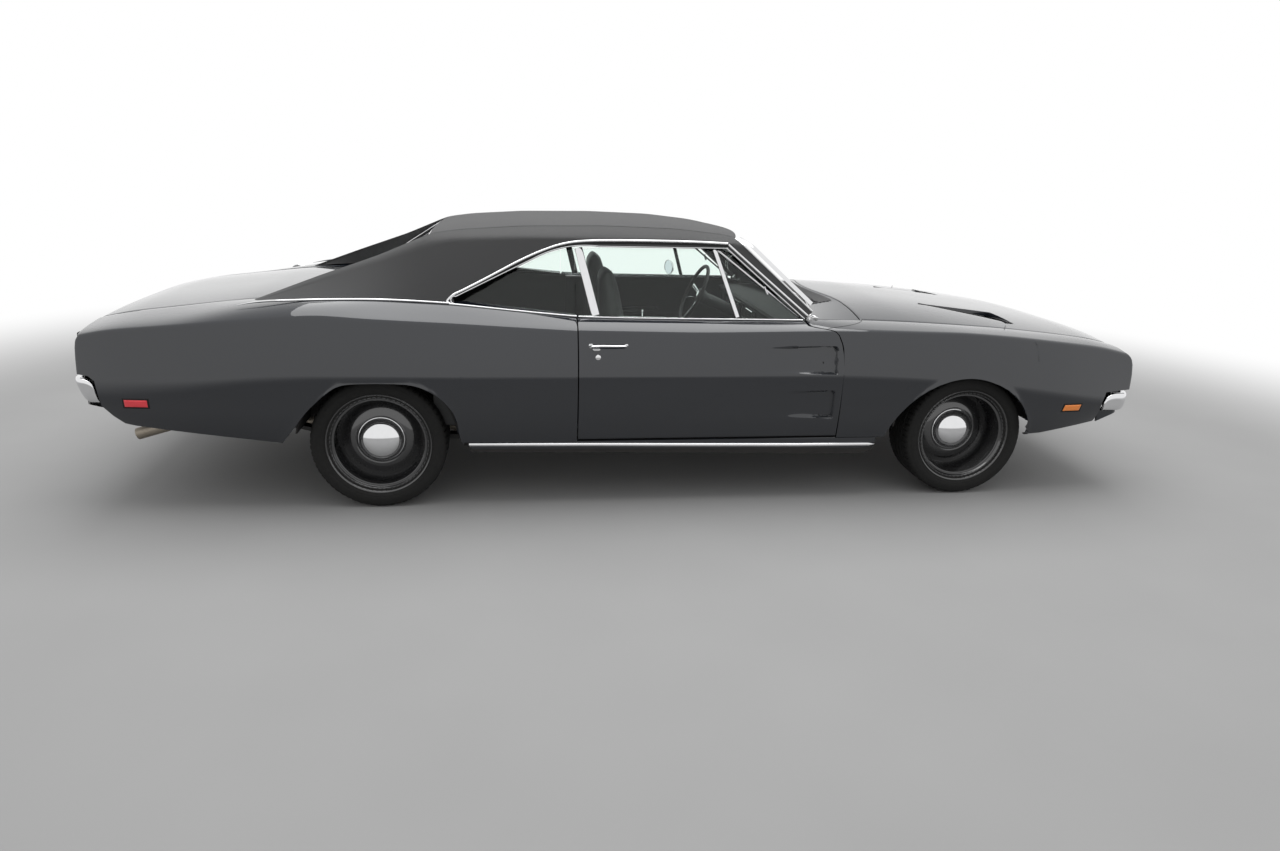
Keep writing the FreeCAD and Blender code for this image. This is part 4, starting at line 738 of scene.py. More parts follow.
def strip(line, out, wide, high, ends=(0.0, 0.0), rounds=10):
    """A half-round moulding: its section, a wide and b high, carried along a line and closed at both ends.
    ends gives how much of the length each end takes to narrow to its point."""
    line = np.asarray(line, float)
    ahead = np.gradient(line, axis=0)
    ahead /= np.linalg.norm(ahead, axis=1, keepdims=True)
    out = np.broadcast_to(np.asarray(out, float), line.shape)
    out = out - ahead * (out * ahead).sum(-1, keepdims=True)
    out = out / np.linalg.norm(out, axis=1, keepdims=True)
    side = np.cross(ahead, out)
    turn = np.linspace(0, 2 * np.pi, rounds + 1)
    a, b = np.cos(turn) * wide / 2, np.sin(turn) * high
    b = np.where(b < 0, b * 0.25, b)
    way = np.linspace(0, 1, len(line))
    size = np.ones(len(line))
    if ends[0]:
        size = np.minimum(size, 0.12 + 0.88 * np.clip(way / ends[0], 0, 1))
    if ends[1]:
        size = np.minimum(size, 0.12 + 0.88 * np.clip((1 - way) / ends[1], 0, 1))
    section = a[None, :, None] * side[:, None] + b[None, :, None] * out[:, None]
    ring = line[:, None] + size[:, None, None] * section
    cap = [line[:1, None] + 0 * ring[:1], line[-1:, None] + 0 * ring[-1:]]
    return np.concatenate([cap[0], ring, cap[1]])


def on_frame(xz, lift=0.0):
    """On the outside of the roof's side, or out from it."""
    xz = np.asarray(xz, float)
    return np.stack([xz[:, 0], -frame_side(xz[:, 0], xz[:, 1]) - lift, xz[:, 1]], -1)


def on_pane(xz, lift=0.0):
    """On the plane of the side glass, or out from it."""
    xz = np.asarray(xz, float)
    return np.stack([xz[:, 0], -780 + 130 / 350 * (xz[:, 1] - 900) - lift, xz[:, 1]], -1)


OUT = (0, -1, 0.3)
drip = curve([(-955, 1004), (-938, 1020), (-900, 1038), (-816, 1079), (-720, 1128), (-624, 1177),
              (-529, 1219), (-433, 1252), (-361, 1266), (-289, 1272), (-143, 1276), (53, 1277),
              (252, 1275), (400, 1270)])
window = path((-926, 984), ((-945, 997), (-922, 1015)), (-560, 1187), ((-430, 1236), (-240, 1248)),
              (399, 1248))
pillar = [np.linspace((404, 1266), (800, 936), 30), np.linspace((394, 1247), (781, 920), 30),
          np.linspace((455, 1288), (824, 956), 30)]
sail_foot = curve([(-1905, 968, -806), (-1820, 984, -806), (-1638, 995, -806), (-1457, 1000, -806),
                   (-1274, 1001, -806), (-1091, 995, -806), (-950, 987, -806)])[:, [0, 2, 1]]
belt_rear = curve([(-952, 984, -806), (-916, 981, -806), (-720, 962, -806), (-532, 944, -806),
                   (-356, 929, -806)])[:, [0, 2, 1]]
belt_turn = curve([(-950, 984), (-962, 993), (-955, 1004)], 4)
bright = [strip(on_frame(drip, 1), OUT, 12, 6, (0, 0)), strip(on_frame(belt_turn, 2), OUT, 12, 6),
          strip(on_frame(window, 0.5), OUT, 7, 4), strip(sail_foot, OUT, 11, 6, (0.12, 0)),
          strip(belt_rear, OUT, 11, 6)]
bright += [strip(on_frame(line, 0.5), (0.5, -1, 0.2), wide, 5) for line, wide in zip(pillar, (11, 8, 9))]
bright.append(strip(on_frame(np.linspace((494, 1289), (822, 991), 30), 1.5), (0.55, -1, 0.5), 27, 4))
screen_foot = curve([(800, -783, 936), (838, -770, 921), (868, -742, 915), (858, -700, 918),
                     (836, -690, 922)], 8)
bright.append(strip(screen_foot, (0.4, -0.5, 0.8), 9, 5))
bow_y = np.linspace(-1, 0, 30)
header = np.stack([452 + 92 * (1 - bow_y ** 2), 600 * bow_y, 1277 + 6 * (1 - bow_y ** 2)], -1)
base = np.stack([828 + 144 * (1 - bow_y ** 2), 738 * bow_y, 901 + 33 * (1 - bow_y ** 2)], -1)
rear_base = np.stack([-1496 - 8 * (1 - bow_y ** 2), 604 * bow_y, 992 + 12 * (1 - bow_y ** 2)], -1)
rear_head = np.stack([-1058 - 6 * (1 - bow_y ** 2), 560 * bow_y, 1272 + 5 * (1 - bow_y ** 2)], -1)
rear_side = np.linspace((-1500, -604, 990), (-1062, -566, 1272), 30)
for line, out, wide in ((header, (0.7, 0, 0.7), 10), (base, (0.3, 0, 1), 9), (rear_base, (-0.4, 0, 1), 12),
                        (rear_head, (-0.7, 0, 0.7), 12), (rear_side, (-0.4, 0, 1), 10)):
    bright.append(strip(line, out, wide, 4))
sill_x = np.linspace(-873, 1172, 60)
sill = np.stack([sill_x, np.full(60, -912.0),
                 np.interp(sill_x, (-873, -245, 251, 765, 1172), (325, 316, 307, 299, 297))], -1)
bright.append(strip(sill, (0, -1, 0.05), 20, 9, (0, 0.012)))
piece("body_mouldings", "body", "bright_chrome", [(s, chrome, None) for s in bright], mirror=True)
seals = [strip(on_frame(np.stack([drip[:, 0], drip[:, 1] - 11], -1)[4:], -1), OUT, 13, 4)]
piece("window_seals", "body", "tyre_rubber", [(s, rubber, None) for s in seals], mirror=True)

# Door trims: the belt strip, window bar, vent frame, handle and lock that go with each door. They are
# polished steel and chromed castings, clipped or screwed through the skin.
belt_door = curve([(-347, 928, -806), (-244, 925, -806), (48, 921, -806), (346, 919, -806),
                   (548, 918, -806), (768, 917, -806)])[:, [0, 2, 1]]
door_bright = [strip(belt_door, OUT, 10, 6),
               strip(on_pane([(-340, 1236), (-300, 1080), (-261, 928)], 1), OUT, 38, 7),
               strip(on_pane([(336, 1238), (390, 1080), (444, 922)], 1), OUT, 22, 8),
               strip(on_pane(np.linspace((352, 1236), (764, 922), 20), 1), (0.5, -1, 0.2), 11, 6),
               strip(on_pane([(586, 1068), (590, 1050), (600, 1030)], 4), OUT, 10, 8)]


def turned(profile, centre, axis, count=48):
    """A turned shape: a profile of (along, radius) swept round an axis through a centre."""
    profile = np.asarray(profile, float)
    angle = np.linspace(0, 2 * np.pi, count + 1)[None, :]
    along = np.broadcast_to(profile[:, :1], (len(profile), count + 1))
    a, b = profile[:, 1:] * np.cos(angle), profile[:, 1:] * np.sin(angle)
    axis = np.asarray(axis, float) / np.linalg.norm(axis)
    first = np.cross(axis, (0, 0, 1) if abs(axis[2]) < 0.9 else (1, 0, 0))
    first /= np.linalg.norm(first)
    second = np.cross(axis, first)
    on_axis = np.asarray(centre, float) + along[..., None] * axis
    return on_axis + a[..., None] * first + b[..., None] * second


def skin_y(table, x, z):
    """Where the body side stands at a place in the side view."""
    return flank(table, np.array([x]), level_at(table, np.array([x]), np.array([z])))[0, 1]


grip_y = skin_y(SIDE, -210, 812)
grip = curve([(-300, grip_y - 2, 806), (-292, grip_y - 22, 811), (-270, grip_y - 27, 813),
              (-150, grip_y - 27, 813), (-130, grip_y - 22, 812), (-124, grip_y - 2, 808)], 6)
door_bright.append(strip(grip, (0, -1, 0.15), 9, 5))
door_bright.append(box(-304, -286, grip_y - 6, grip_y + 4, 797, 819, 3))
door_bright.append(box(-133, -118, grip_y - 6, grip_y + 4, 802, 818, 3))
door_bright.append(box(-288, -250, grip_y - 20, grip_y + 2, 788, 799, 4))
lock_y = skin_y(SIDE, -261, 757)
door_bright.append(turned([(-4, 0), (-4, 13), (2, 13), (4, 11), (5, 8), (5, 0)], (-261, lock_y, 757),
                          (0, -1, 0), 24))
edge = np.stack([on_pane([(x, z) for z in (928, 1030, 1130, 1236)], -d)
                 for x, d in ((-356, 0), (-341, 0), (-341, 6), (-356, 6), (-356, 0))])
knob = turned([(0, 0), (0, 5), (20, 5), (23, 8), (32, 8), (35, 6), (35, 0)],
              (-30, -752, 920), (0, 0.3, 1), 16)
for hand, body in ((1, "door_right"), (-1, "door_left")):
    piece(body + "_trim", body, "bright_chrome",
          [(s * np.array([1, hand, 1]), chrome, None) for s in door_bright + [knob]]
          + [(edge * np.array([1, hand, 1]), glass, None)])

# Door mirror, on the driver's door only: a round chromed head on a bent stalk, with its glass to the rear.
# Its foot is screwed to the door's upper face.
looking, wire = finish("mirror_glass")
wire.close(Base_Color=wire.between(wire.noise(5.0), (0.66, 0.70, 0.74, 1), (0.70, 0.74, 0.78, 1)),
           Metallic=1.0, Roughness=0.02 + 0.01 * wire.noise(9.0))
aim = (0.92, 0.39, 0)
head = turned([(-15, 45), (-17, 48), (-15, 50), (-7, 49), (3, 42), (10, 29), (14, 14), (15, 0)],
              (396, 924, 959), aim)
face = turned([(-14.5, 0), (-14.5, 46)], (396, 924, 959), aim)
stalk = curve([(396, 872, 884), (396, 884, 905), (395, 905, 930), (394, 918, 950)], 6)
foot = turned([(0, 24), (4, 24), (9, 18), (14, 10), (16, 0)], (396, 872, 884), (0, 0.5, 1), 24)
piece("door_mirror", "door_left", "bright_chrome",
      [(head, chrome, (1, 0, 0)), (face, looking, (-0.92, -0.39, 0)),
       (strip(stalk, (1, 0, 0), 14, 9), chrome, None), (foot, chrome, (0, 0.5, 1))], ("mirror_left",))


# Rockers: the sills under the doors, of painted steel pressed in one length and welded between the two wheel
# openings. The bright strip above them is one of the mouldings.
x, v = np.meshgrid(lines(-866, 1176, 30, -866, 1176), np.array([0, 0.04, 0.3, 0.6, 0.86, 0.96, 1.0, 1.0]),
                   indexing="ij")
foot = np.interp(x, (-866, 1099, 1152, 1176), (286, 246, 257, 300))
tuck = np.array([3, 0, 0, 2, 6, 12, 22, 60])[None, :]
rocker = np.stack([x, -911 + tuck + 0 * x, 336 + v * (foot - 337)], -1)
rocker = hemmed(rocker, OUT, depth=20, sides=(1, 1, 0, 0))
piece("rocker_skins", "body", "body_paint", [(rocker, paint, OUT)], mirror=True)

# Cowl seams: the joint between the cowl and each fender, where two pressed edges meet over the apron. A thin
# bead of dark sealer fills it.
seam = np.array([(1107, -719), (1098, -752), (1078, -782), (1046, -812), (1004, -838), (955, -857),
                 (905, -872), (880, -879.)])
sample = flank(SIDE, seam[:, :1], np.linspace(2, 3, 40)[None, :])
seam_z = [np.interp(-y, -row[::-1, 1], row[::-1, 2]) for (x, y), row in zip(seam, sample)]
seam = curve(np.column_stack([seam, np.array(seam_z) + 0.3]))
piece("cowl_seams", "body", "tyre_rubber", [(strip(seam, (0, -0.3, 1), 3.2, 0.6), rubber, None)],
      mirror=True)

# Side marker lamps: an amber lens in each fender and a red one in each quarter, in dark rubber bezels. Each
# is moulded plastic, screwed over a hole in the skin.
amber, wire = finish("amber_lens")
wire.close(Base_Color=wire.between(wire.noise(120.0), (0.82, 0.24, 0.045, 1), (0.95, 0.31, 0.07, 1)),
           Roughness=0.25 + 0.1 * wire.noise(50.0))
ruby, wire = finish("red_lens")
wire.close(Base_Color=wire.between(wire.noise(120.0), (0.74, 0.045, 0.060, 1), (0.86, 0.070, 0.090, 1)),
           Roughness=0.25 + 0.1 * wire.noise(50.0))


def lens(table, x0, x1, z0, z1, lift, lean=0):
    """A lens on the body side: the skin's own surface raised by a flat-topped dome."""
    u, v = np.meshgrid(lines(-1, 1, 0.12, -1, 1), lines(-1, 1, 0.16, -1, 1), indexing="ij")
    z = (z0 + z1) / 2 + v * (z1 - z0) / 2
    x = (x0 + x1) / 2 + u * (x1 - x0) / 2 + lean * v
    made = flank(table, x, level_at(table, x, z))
    made[..., 1] -= lift * (1 - np.maximum(np.abs(u), np.abs(v)) ** 10) - 0.5
    return made


for table, spot, glow, slot in ((SIDE, (2178, 2280, 468, 502), amber, "lamp_red"),
                                (QUARTER, (-2388, -2282, 524, 559), ruby, "lamp_red")):
    x0, x1, z0, z1 = spot
    lean = 4 if x0 > 0 else 0
    piece("side_markers_" + ("front" if x0 > 0 else "rear"), "body", slot,
          [(lens(table, x0 - 7, x1 + 7, z0 - 7, z1 + 7, 3, lean), rubber, OUT),
           (lens(table, x0, x1, z0, z1, 6.5, lean), glow, OUT)], mirror=True)


# Nose: a painted surround rolled from the hood's front edge down to the bumper, round a wide opening with a
# bright edge. The matt black grille stands back in it, in two halves that hide the headlamps.
def framed(outer, inner, bulge, away, count=14):
    """A surround: straight lines from an outer loop to an inner one, swelled away from the body by a
    sine."""
    s = lines(0, 1, 1 / count, 0, 1)[:, None, None]
    return outer + s * (inner - outer) + bulge * np.sin(np.pi * s) ** 0.8 * np.asarray(away, float)


def rounded(half, low, high, radius, count=16, step=24):
    """A closed rounded rectangle across the car, as (y, z) points from the middle of its foot."""
    turn = np.linspace(0, np.pi / 2, count)
    corners = []
    for k, (cy, cz) in enumerate(((half - radius, low + radius), (half - radius, high - radius),
                                  (radius - half, high - radius), (radius - half, low + radius))):
        a = turn - np.pi / 2 + k * np.pi / 2
        corners.append(np.stack([cy + radius * np.cos(a), cz + radius * np.sin(a)], -1))
    loop = np.concatenate([[(0, low)], *corners, [(0, low)]])
    way = np.concatenate([[0], np.cumsum(np.linalg.norm(np.diff(loop, axis=0), axis=1))])
    spots = np.unique(np.concatenate([way, np.arange(0, way[-1], step)]))
    return np.stack([np.interp(spots, way, loop[:, 0]), np.interp(spots, way, loop[:, 1])], -1)


def loop_at(half, low, high, radius, depth, count=240):
    """A rounded rectangle with its depth along the car given by a function of y and z."""
    flat = rounded(half, low, high, radius)
    way = np.concatenate([[0], np.cumsum(np.linalg.norm(np.diff(flat, axis=0), axis=1))])
    angle = np.linspace(0, way[-1], count)
    y, z = np.interp(angle, way, flat[:, 0]), np.interp(angle, way, flat[:, 1])
    return np.stack([depth(y, z), y, z], -1)


def nose_out(y, z):
    """The nose's depth: the side's line up to 745, then blended into the hood's front edge by 775."""
    side_x = np.interp(z, (560, 620, 700, 740, 762, 786), (2566, 2570, 2572, 2562, 2548, 2530))
    top_x = hood_front(y) - 8
    return np.where(z > 745, np.interp(z, (745, 775), (0, 1)) * (top_x - side_x) + side_x, side_x)


nose_loop = loop_at(838, 566, 772, 26, nose_out)
opening = loop_at(800, 590, 726, 14, lambda y, z: 2574 + 14 * (1 - (y / 800) ** 2) + 0 * z)
throat = loop_at(796, 594, 722, 12, lambda y, z: 2512 + 0 * z)
s = np.linspace(0, 1, 6)[:, None, None]
piece("nose_surround", "body", "body_paint",
      [(framed(nose_loop, opening, 12, (1, 0, 0)), paint, (1, 0, 0)),
       (opening + s * (throat - opening), vent_black, -1),
       (strip(opening, (1, 0, 0), 9, 7), chrome, None)], ("nose_panel",))
wave = np.arange(594, 722, 9.8)
z_rows = np.concatenate([[w, w + 0.6, w + 4.2, w + 4.8] for w in wave])
x_rows = np.tile((2514.0, 2530.0, 2530.0, 2514.0), len(wave))
halves = []
for y0, y1 in ((14, 797), (-797, -14)):
    y = lines(y0, y1, 60, y0, y1)[None, :]
    halves.append(np.stack([x_rows[:, None] + 0 * y, y + 0 * x_rows[:, None], z_rows[:, None] + 0 * y], -1))
grille_black, wire = finish("grille_plastic")
wire.close(Base_Color=wire.between(wire.noise(60.0), (0.012, 0.012, 0.013, 1), (0.022, 0.022, 0.023, 1)),
           Roughness=0.38 + 0.12 * wire.noise(240.0))
outs = [(h, grille_black, (1, 0, 0)) for h in halves]
outs += [(box(2500.3, 2513, -799, 799, 591, 724), grille_black, None),
         (box(2513, 2545, -13, 13, 592, 723, 3), grille_black, None)]
outs += [(box(2514, 2534, y - 2, y + 2, 594, 721, 1), grille_black, None) for y in (-452, 452, -786, 786)]
outs += [(strip([(2546, 0, 596), (2546, 0, 658), (2546, 0, 719)], (1, 0, 0), 8, 5), chrome, None)]
piece("grille_bars", "body", "grille_black", outs, ("grille",))


# Bumpers: chromed steel blades wrapped round the corners, on brackets from the frame rails. The front one
# stands below the nose's corner; the rear one leans in towards its foot, with a dark gap above it.
def wrapped(end, side, corner, middle, half, width):
    """The plan of a bumper from its right end to its left: straight along each side, a quarter turn at the
    corner, and a shallow bow across."""
    y = np.linspace(-half, half, 61)
    across = np.stack([middle + (corner - middle) * (y / half) ** 2, y], -1)
    turn = np.linspace(0, np.pi / 2, 14)[1:-1]
    bend = np.stack([side + (corner - side) * np.sin(turn), -half - (width - half) * np.cos(turn)], -1)
    run = np.stack([np.linspace(end, side, 7), np.full(7, -float(width))], -1)
    right = np.concatenate([run, bend, across])
    other = np.concatenate([run, bend]) * np.array([1, -1])
    return np.concatenate([right, other[::-1]])


def blade(plan, low, high, lean, thick, away):
    """A bumper's shell: at each place of the plan a closed section whose face bows out, turns in at the top
    and foot, and comes back down inside. The ends round off over their last stretch."""
    ahead = np.gradient(plan, axis=0)
    ahead /= np.linalg.norm(ahead, axis=1, keepdims=True)
    out = np.stack([ahead[:, 1], -ahead[:, 0]], -1) * away
    way = np.concatenate([[0], np.cumsum(np.linalg.norm(np.diff(plan, axis=0), axis=1))])
    reach = np.minimum(way, way[-1] - way)
    end = np.clip(reach / 70, 0, 1)
    fall = (1 - np.sqrt(1 - (1 - end) ** 2)) * 46
    section = np.array([(0, 0.52), (0.4, 0.66), (0.2, 0.80), (-2, 0.90), (-6, 0.965), (-12, 1.0),
                        (-22, 1.0), (-27, 0.985), (-29, 0.95), (-22, 0.90), (-12, 0.76), (-10, 0.5),
                        (-14, 0.25), (-24, 0.10), (-31, 0.04), (-32, 0.0), (-26, 0.0), (-18, 0.02),
                        (-10, 0.07), (-4, 0.17), (-1, 0.34), (0, 0.52)])
    share = section[:, 1][None, :]
    z = low + share * (high - low - fall[:, None])
    depth = section[:, 0][None, :] * thick - lean * (1 - share) ** 1.3
    flat = plan[:, None] + depth[..., None] * out[:, None]
    grid = np.concatenate([flat, z[..., None]], -1)
    cap = [grid[:1].mean(1, keepdims=True) + 0 * grid[:1], grid[-1:].mean(1, keepdims=True) + 0 * grid[-1:]]
    return np.concatenate([cap[0], grid, cap[1]])


front_plan = wrapped(2430, 2514, 2598, 2641, 790, 902)
stays = [box(2440.3, 2600, y0, y0 + 50, 456, 480) for y0 in (405, -455)]
piece("front_bumper_blade", "body", "bright_chrome",
      [(blade(front_plan, 454, 552, 4, 1.0, 1), chrome, None)] + [(s, vent_black, None) for s in stays],
      ("front_bumper",))
rear_plan = wrapped(-2512, -2556, -2612, -2641, 806, 890)
stays = [box(-2606, -2574.5, y0, y0 + 50, 560, 600) for y0 in (460, -510)]
piece("rear_bumper_blade", "body", "bright_chrome",
      [(blade(rear_plan, 527, 653, 30, 1.0, -1), chrome, None)] + [(s, vent_black, None) for s in stays],
      ("rear_bumper",))

# Front valance: the painted steel apron under the bumper, with a parking lamp let into it each side. It is
# bolted to the feet of the fenders.
plan = wrapped(2418, 2500, 2562, 2596, 770, 876)
plan_y = np.abs(plan[:, 1])
foot = np.where(plan_y < 770, 404 + 46 * (plan_y / 770) ** 2,
                np.interp(plan[:, 0], (2418, 2457, 2513, 2562), (394, 412, 437, 450)))
v = np.array([0, 0.05, 0.35, 0.7, 0.93, 1.0])[:, None]
valance = np.stack([plan[None, :, 0] - 16 * v ** 2 * (plan_y < 860), plan[None, :, 1] + 0 * v,
                    458 + v * (foot[None] - 458)], -1)
white_lens, wire = finish("clear_lens")
wire.close(Base_Color=wire.between(wire.noise(120.0), (0.50, 0.50, 0.48, 1), (0.62, 0.62, 0.60, 1)),
           Roughness=0.2 + 0.1 * wire.noise(60.0), Coat_Weight=1.0)
lamps = []
for y in (-560, 560):
    lamps += [(box(2560, 2588, y - 62, y + 62, 421, 453, 5), chrome, None),
              (box(2580, 2592, y - 55, y + 55, 426, 448, 4), white_lens, None)]
piece("front_valance_skin", "body", "body_paint",
      [(hemmed(valance, (1, 0, 0), depth=10), paint, (1, 0, 0))] + lamps, ("front_valance",))


# Tail: the painted steel panel between the quarters, sunk and matt black round two long red lamps in bright
# bezels. A licence plate can be bolted below them.
panel_y, panel_z = np.meshgrid(np.linspace(-796, 796, 9), np.linspace(669, 811, 5))
panel = np.stack([-2572 + 0 * panel_y, panel_y, panel_z], -1)


def tail_out(y, z):
    """The tail's depth: a shallow bow across, drawn forward at the corners as a square."""
    return -2576 - 3 * (1 - (y / 852) ** 2) + 14 * np.clip((np.abs(y) - 800) / 52, 0, 1) ** 2


surround = loop_at(852, 440, 845, 22, tail_out)
outwards = np.clip((np.abs(surround[:, 1]) - 640) / 212, 0, 1)
surround[:, 2] += 86 * outwards * np.clip((640 - surround[:, 2]) / 200, 0, 1)
mouth = loop_at(798, 668, 812, 14, lambda y, z: -2578 + 0 * y)
back = loop_at(796, 670, 810, 12, lambda y, z: -2571.5 + 0 * y)
s = np.linspace(0, 1, 3)[:, None, None]
outs = [(framed(surround, mouth, 3, (-1, 0, 0)), paint, (-1, 0, 0)),
        (mouth + s * (back - mouth), vent_black, -1),
        (panel, vent_black, (-1, 0, 0)), (strip(mouth, (-1, 0, 0), 7, 4), chrome, None)]
plate_bolt = [(0, 3.6), (1.5, 5.2), (2.2, 3.6)]
outs += [(turned(plate_bolt, (-2579, y, 485), (-1, 0, 0), 16), vent_black, (-1, 0, 0))
         for y in (-88.9, 88.9)]
deep_red, wire = finish("tail_lens")
wire.close(Base_Color=wire.between(wire.noise(120.0), (0.20, 0.003, 0.003, 1), (0.30, 0.006, 0.006, 1)),
           Roughness=0.12 + 0.1 * wire.noise(50.0), Specular_IOR_Level=0.35)
piece("tail_panel_skin", "body", "body_paint", outs, ("tail_panel",))
outs = []
for y0, y1 in ((90, 760), (-760, -90)):
    middle, half = (y0 + y1) / 2, (y1 - y0) / 2
    edge = loop_at(half, 690, 790, 26, lambda y, z: -2576 + 0 * y) + (0, middle, 0)
    rib_y, rib_z = np.meshgrid(np.linspace(-1, 1, 121), np.linspace(-1, 1, 33), indexing="ij")
    dome = 1 - np.maximum(np.abs(rib_y), np.abs(rib_z)) ** 14
    lens_x = -2576 - 12 * dome - 0.8 * np.abs(np.sin(rib_z * 8 * np.pi)) * dome
    outs += [(np.stack([lens_x, middle + rib_y * (half - 4), 740 + rib_z * 46], -1), deep_red, (-1, 0, 0)),
             (strip(edge, (-1, 0, 0), 10, 13), chrome, None)]
piece("tail_lamp_lenses", "body", "lamp_red", outs, ("tail_lamps",))


# Wheels: deep black steel discs welded into stepped rims, each with a domed chrome cap clipped into its
# middle, on low rubber tyres without lettering.
black_gloss, wire = finish("rim_enamel")
wire.close(Base_Color=wire.between(wire.noise(25.0), (0.0045, 0.0045, 0.005, 1), (0.008, 0.008, 0.009, 1)),
           Roughness=0.22 + 0.08 * wire.noise(90.0),
           Coat_Weight=1.0, Coat_IOR=1.7, Coat_Roughness=0.05)
tread_rubber, wire = finish("tread_rubber")
wire.close(Base_Color=wire.between(wire.noise(70.0, 4.0), (0.011, 0.011, 0.011, 1),
                                   (0.022, 0.022, 0.021, 1)),
           Roughness=0.66 + 0.2 * wire.noise(180.0), Specular_IOR_Level=0.2,
           Normal=wire.bump(wire.noise(700.0), 0.0003))
PITCHES = 64


def wheel_profile(disc):
    """(out from the wheel's middle, radius): from the cap over the disc and the stepped rim, and back."""
    return [(disc + 6, 104), (disc + 5, 113), (disc + 12, 116), (disc + 15, 121), (disc + 13, 136),
            (disc + 7, 152), (disc - 2, 168), (disc - 12, 181), (disc - 20, 190), (disc - 23, 197),
            (disc - 14, 203), (disc + 4, 206), (76, 209), (85, 211), (87, 213.5), (87.5, 220), (90, 223),
            (95, 225), (97.5, 227.5), (98, 233), (100, 236), (104, 238), (108, 240.5), (110.5, 244),
            (111, 246.5), (110, 248), (107, 249), (104, 247), (103, 231), (88, 229), (70, 226), (40, 218),
            (-60, 218), (-84, 224), (-103, 229), (-104, 247), (-110, 247), (-111, 240), (-108, 232),
            (-84, 220), (-60, 213), (disc - 30, 213), (disc - 34, 190), (disc - 9, 150), (disc - 9, 62),
            (-60, 60), (-60, 32), (disc - 4, 32), (disc - 4, 0)]


def cap_profile(disc):
    """The cap: a rolled foot, then a dome."""
    a = np.linspace(0, np.pi / 2, 16)
    dome = np.stack([disc + 9 + 60 * np.sin(a), 107 * np.cos(a)], -1)
    return np.concatenate([[(disc - 1, 100), (disc + 1, 109.5), (disc + 5, 111), (disc + 8, 109.5)], dome])


def tyre_grid(hand, x, y):
    """A tyre: a bead-to-bead profile turned round the axle. The crown is cut by four grooves, and each
    shoulder by slots that repeat a set number of times round it."""
    side = np.array([(103, 231), (106, 240), (109, 248), (114, 252), (119, 258), (120.5, 262), (120, 264),
                     (121.5, 267), (122, 275), (121.8, 284), (121, 291), (119.5, 294), (119.8, 297),
                     (117.5, 303), (114, 309), (108, 314.2), (101, 317.3), (94, 318.2), (82, 318.8),
                     (70, 319.2), (64, 319.3), (63, 312), (56, 312), (55, 319.4), (40, 319.7),
                     (26, 319.9), (25, 312.5), (17, 312.5), (16, 320), (0, 320)])
    flip = side[-2::-1] * (-1, 1)
    inside = np.array([(-100, 233), (-108, 262), (-104, 300), (-90, 308), (0, 309), (90, 308), (104, 300),
                       (108, 262), (100, 233), (103, 231)])
    outer = np.concatenate([side, flip])
    profile = np.concatenate([outer, inside])
    count = PITCHES * 5
    angle = np.linspace(0, 2 * np.pi, count + 1)
    radius = np.repeat(profile[:, 1][:, None], count + 1, axis=1)
    along = np.repeat(profile[:, 0][:, None], count + 1, axis=1)
    phase = (np.arange(count + 1) % 5)[None, :]
    shift = (profile[:, 0] < 0)[:, None] * 2
    on_outside = (np.arange(len(profile)) < len(outer))[:, None]
    slot_here = ((phase + shift) % 5 == 0) & (np.abs(along) > 66) & (np.abs(along) < 112) & on_outside
    radius = radius - 5.5 * slot_here
    block = ((phase + shift + 2) % 5 == 0) & (np.abs(along) < 54) & (np.abs(along) > 27) & (radius > 318)
    radius = radius - 3.0 * block
    return np.stack([x + radius * np.cos(angle), y + hand * along, AXLE_Z + radius * np.sin(angle)], -1)


for end, x, wheel_y, dish in (("front", AXLE_X, 763, 138), ("rear", REAR_X, 770, 93)):
    for hand, side in ((1, "left"), (-1, "right")):
        body, disc = f"wheel_{end}_{side}", 111 - dish
        centre, out = (x, hand * wheel_y, AXLE_Z), (0, hand, 0)
        rim = turned(wheel_profile(disc), centre, out, 96)
        cap = turned(cap_profile(disc), centre, out, 64)
        piece(body + "_rim", body, "wheel_black", [(rim, black_gloss, None), (cap, chrome, out)], (body,),
              crease=30)
        piece(body + "_tyre", body, "tyre_rubber",
              [(tyre_grid(hand, x, hand * wheel_y), tread_rubber, None)], (f"tyre_{end}_{side}",), crease=35)


# Seats: two high-backed buckets on steel rails and a bench behind them, all in black grained vinyl over
# foam. Each cushion is a closed form swelled by air pressure, with its seams and channels sewn in
# afterwards.
leather, wire = finish("black_seat_vinyl")
wire.close(Base_Color=wire.between(wire.noise(30.0, 3.0), (0.014, 0.015, 0.015, 1),
                                   (0.024, 0.025, 0.025, 1)),
           Roughness=0.42 + 0.18 * wire.noise(120.0), Normal=wire.bump(wire.noise(700.0, 2.0), 0.00012))
hard_black, wire = finish("interior_black")
wire.close(Base_Color=wire.between(wire.noise(50.0), (0.012, 0.012, 0.013, 1), (0.020, 0.020, 0.021, 1)),
           Roughness=0.48 + 0.2 * wire.noise(300.0), Normal=wire.bump(wire.noise(800.0), 0.0002))
carpet, wire = finish("black_carpet")
wire.close(Base_Color=wire.between(wire.noise(600.0, 4.0), (0.006, 0.006, 0.006, 1),
                                   (0.026, 0.026, 0.027, 1)),
           Roughness=0.92 + 0.05 * wire.noise(90.0), Normal=wire.bump(wire.noise(900.0, 4.0), 0.002))
steel, wire = finish("black_chassis_paint")
wire.close(Base_Color=wire.between(wire.noise(14.0, 4.0), (0.010, 0.010, 0.010, 1),
                                   (0.022, 0.021, 0.020, 1)), Roughness=0.42 + 0.25 * wire.noise(45.0, 3.0))


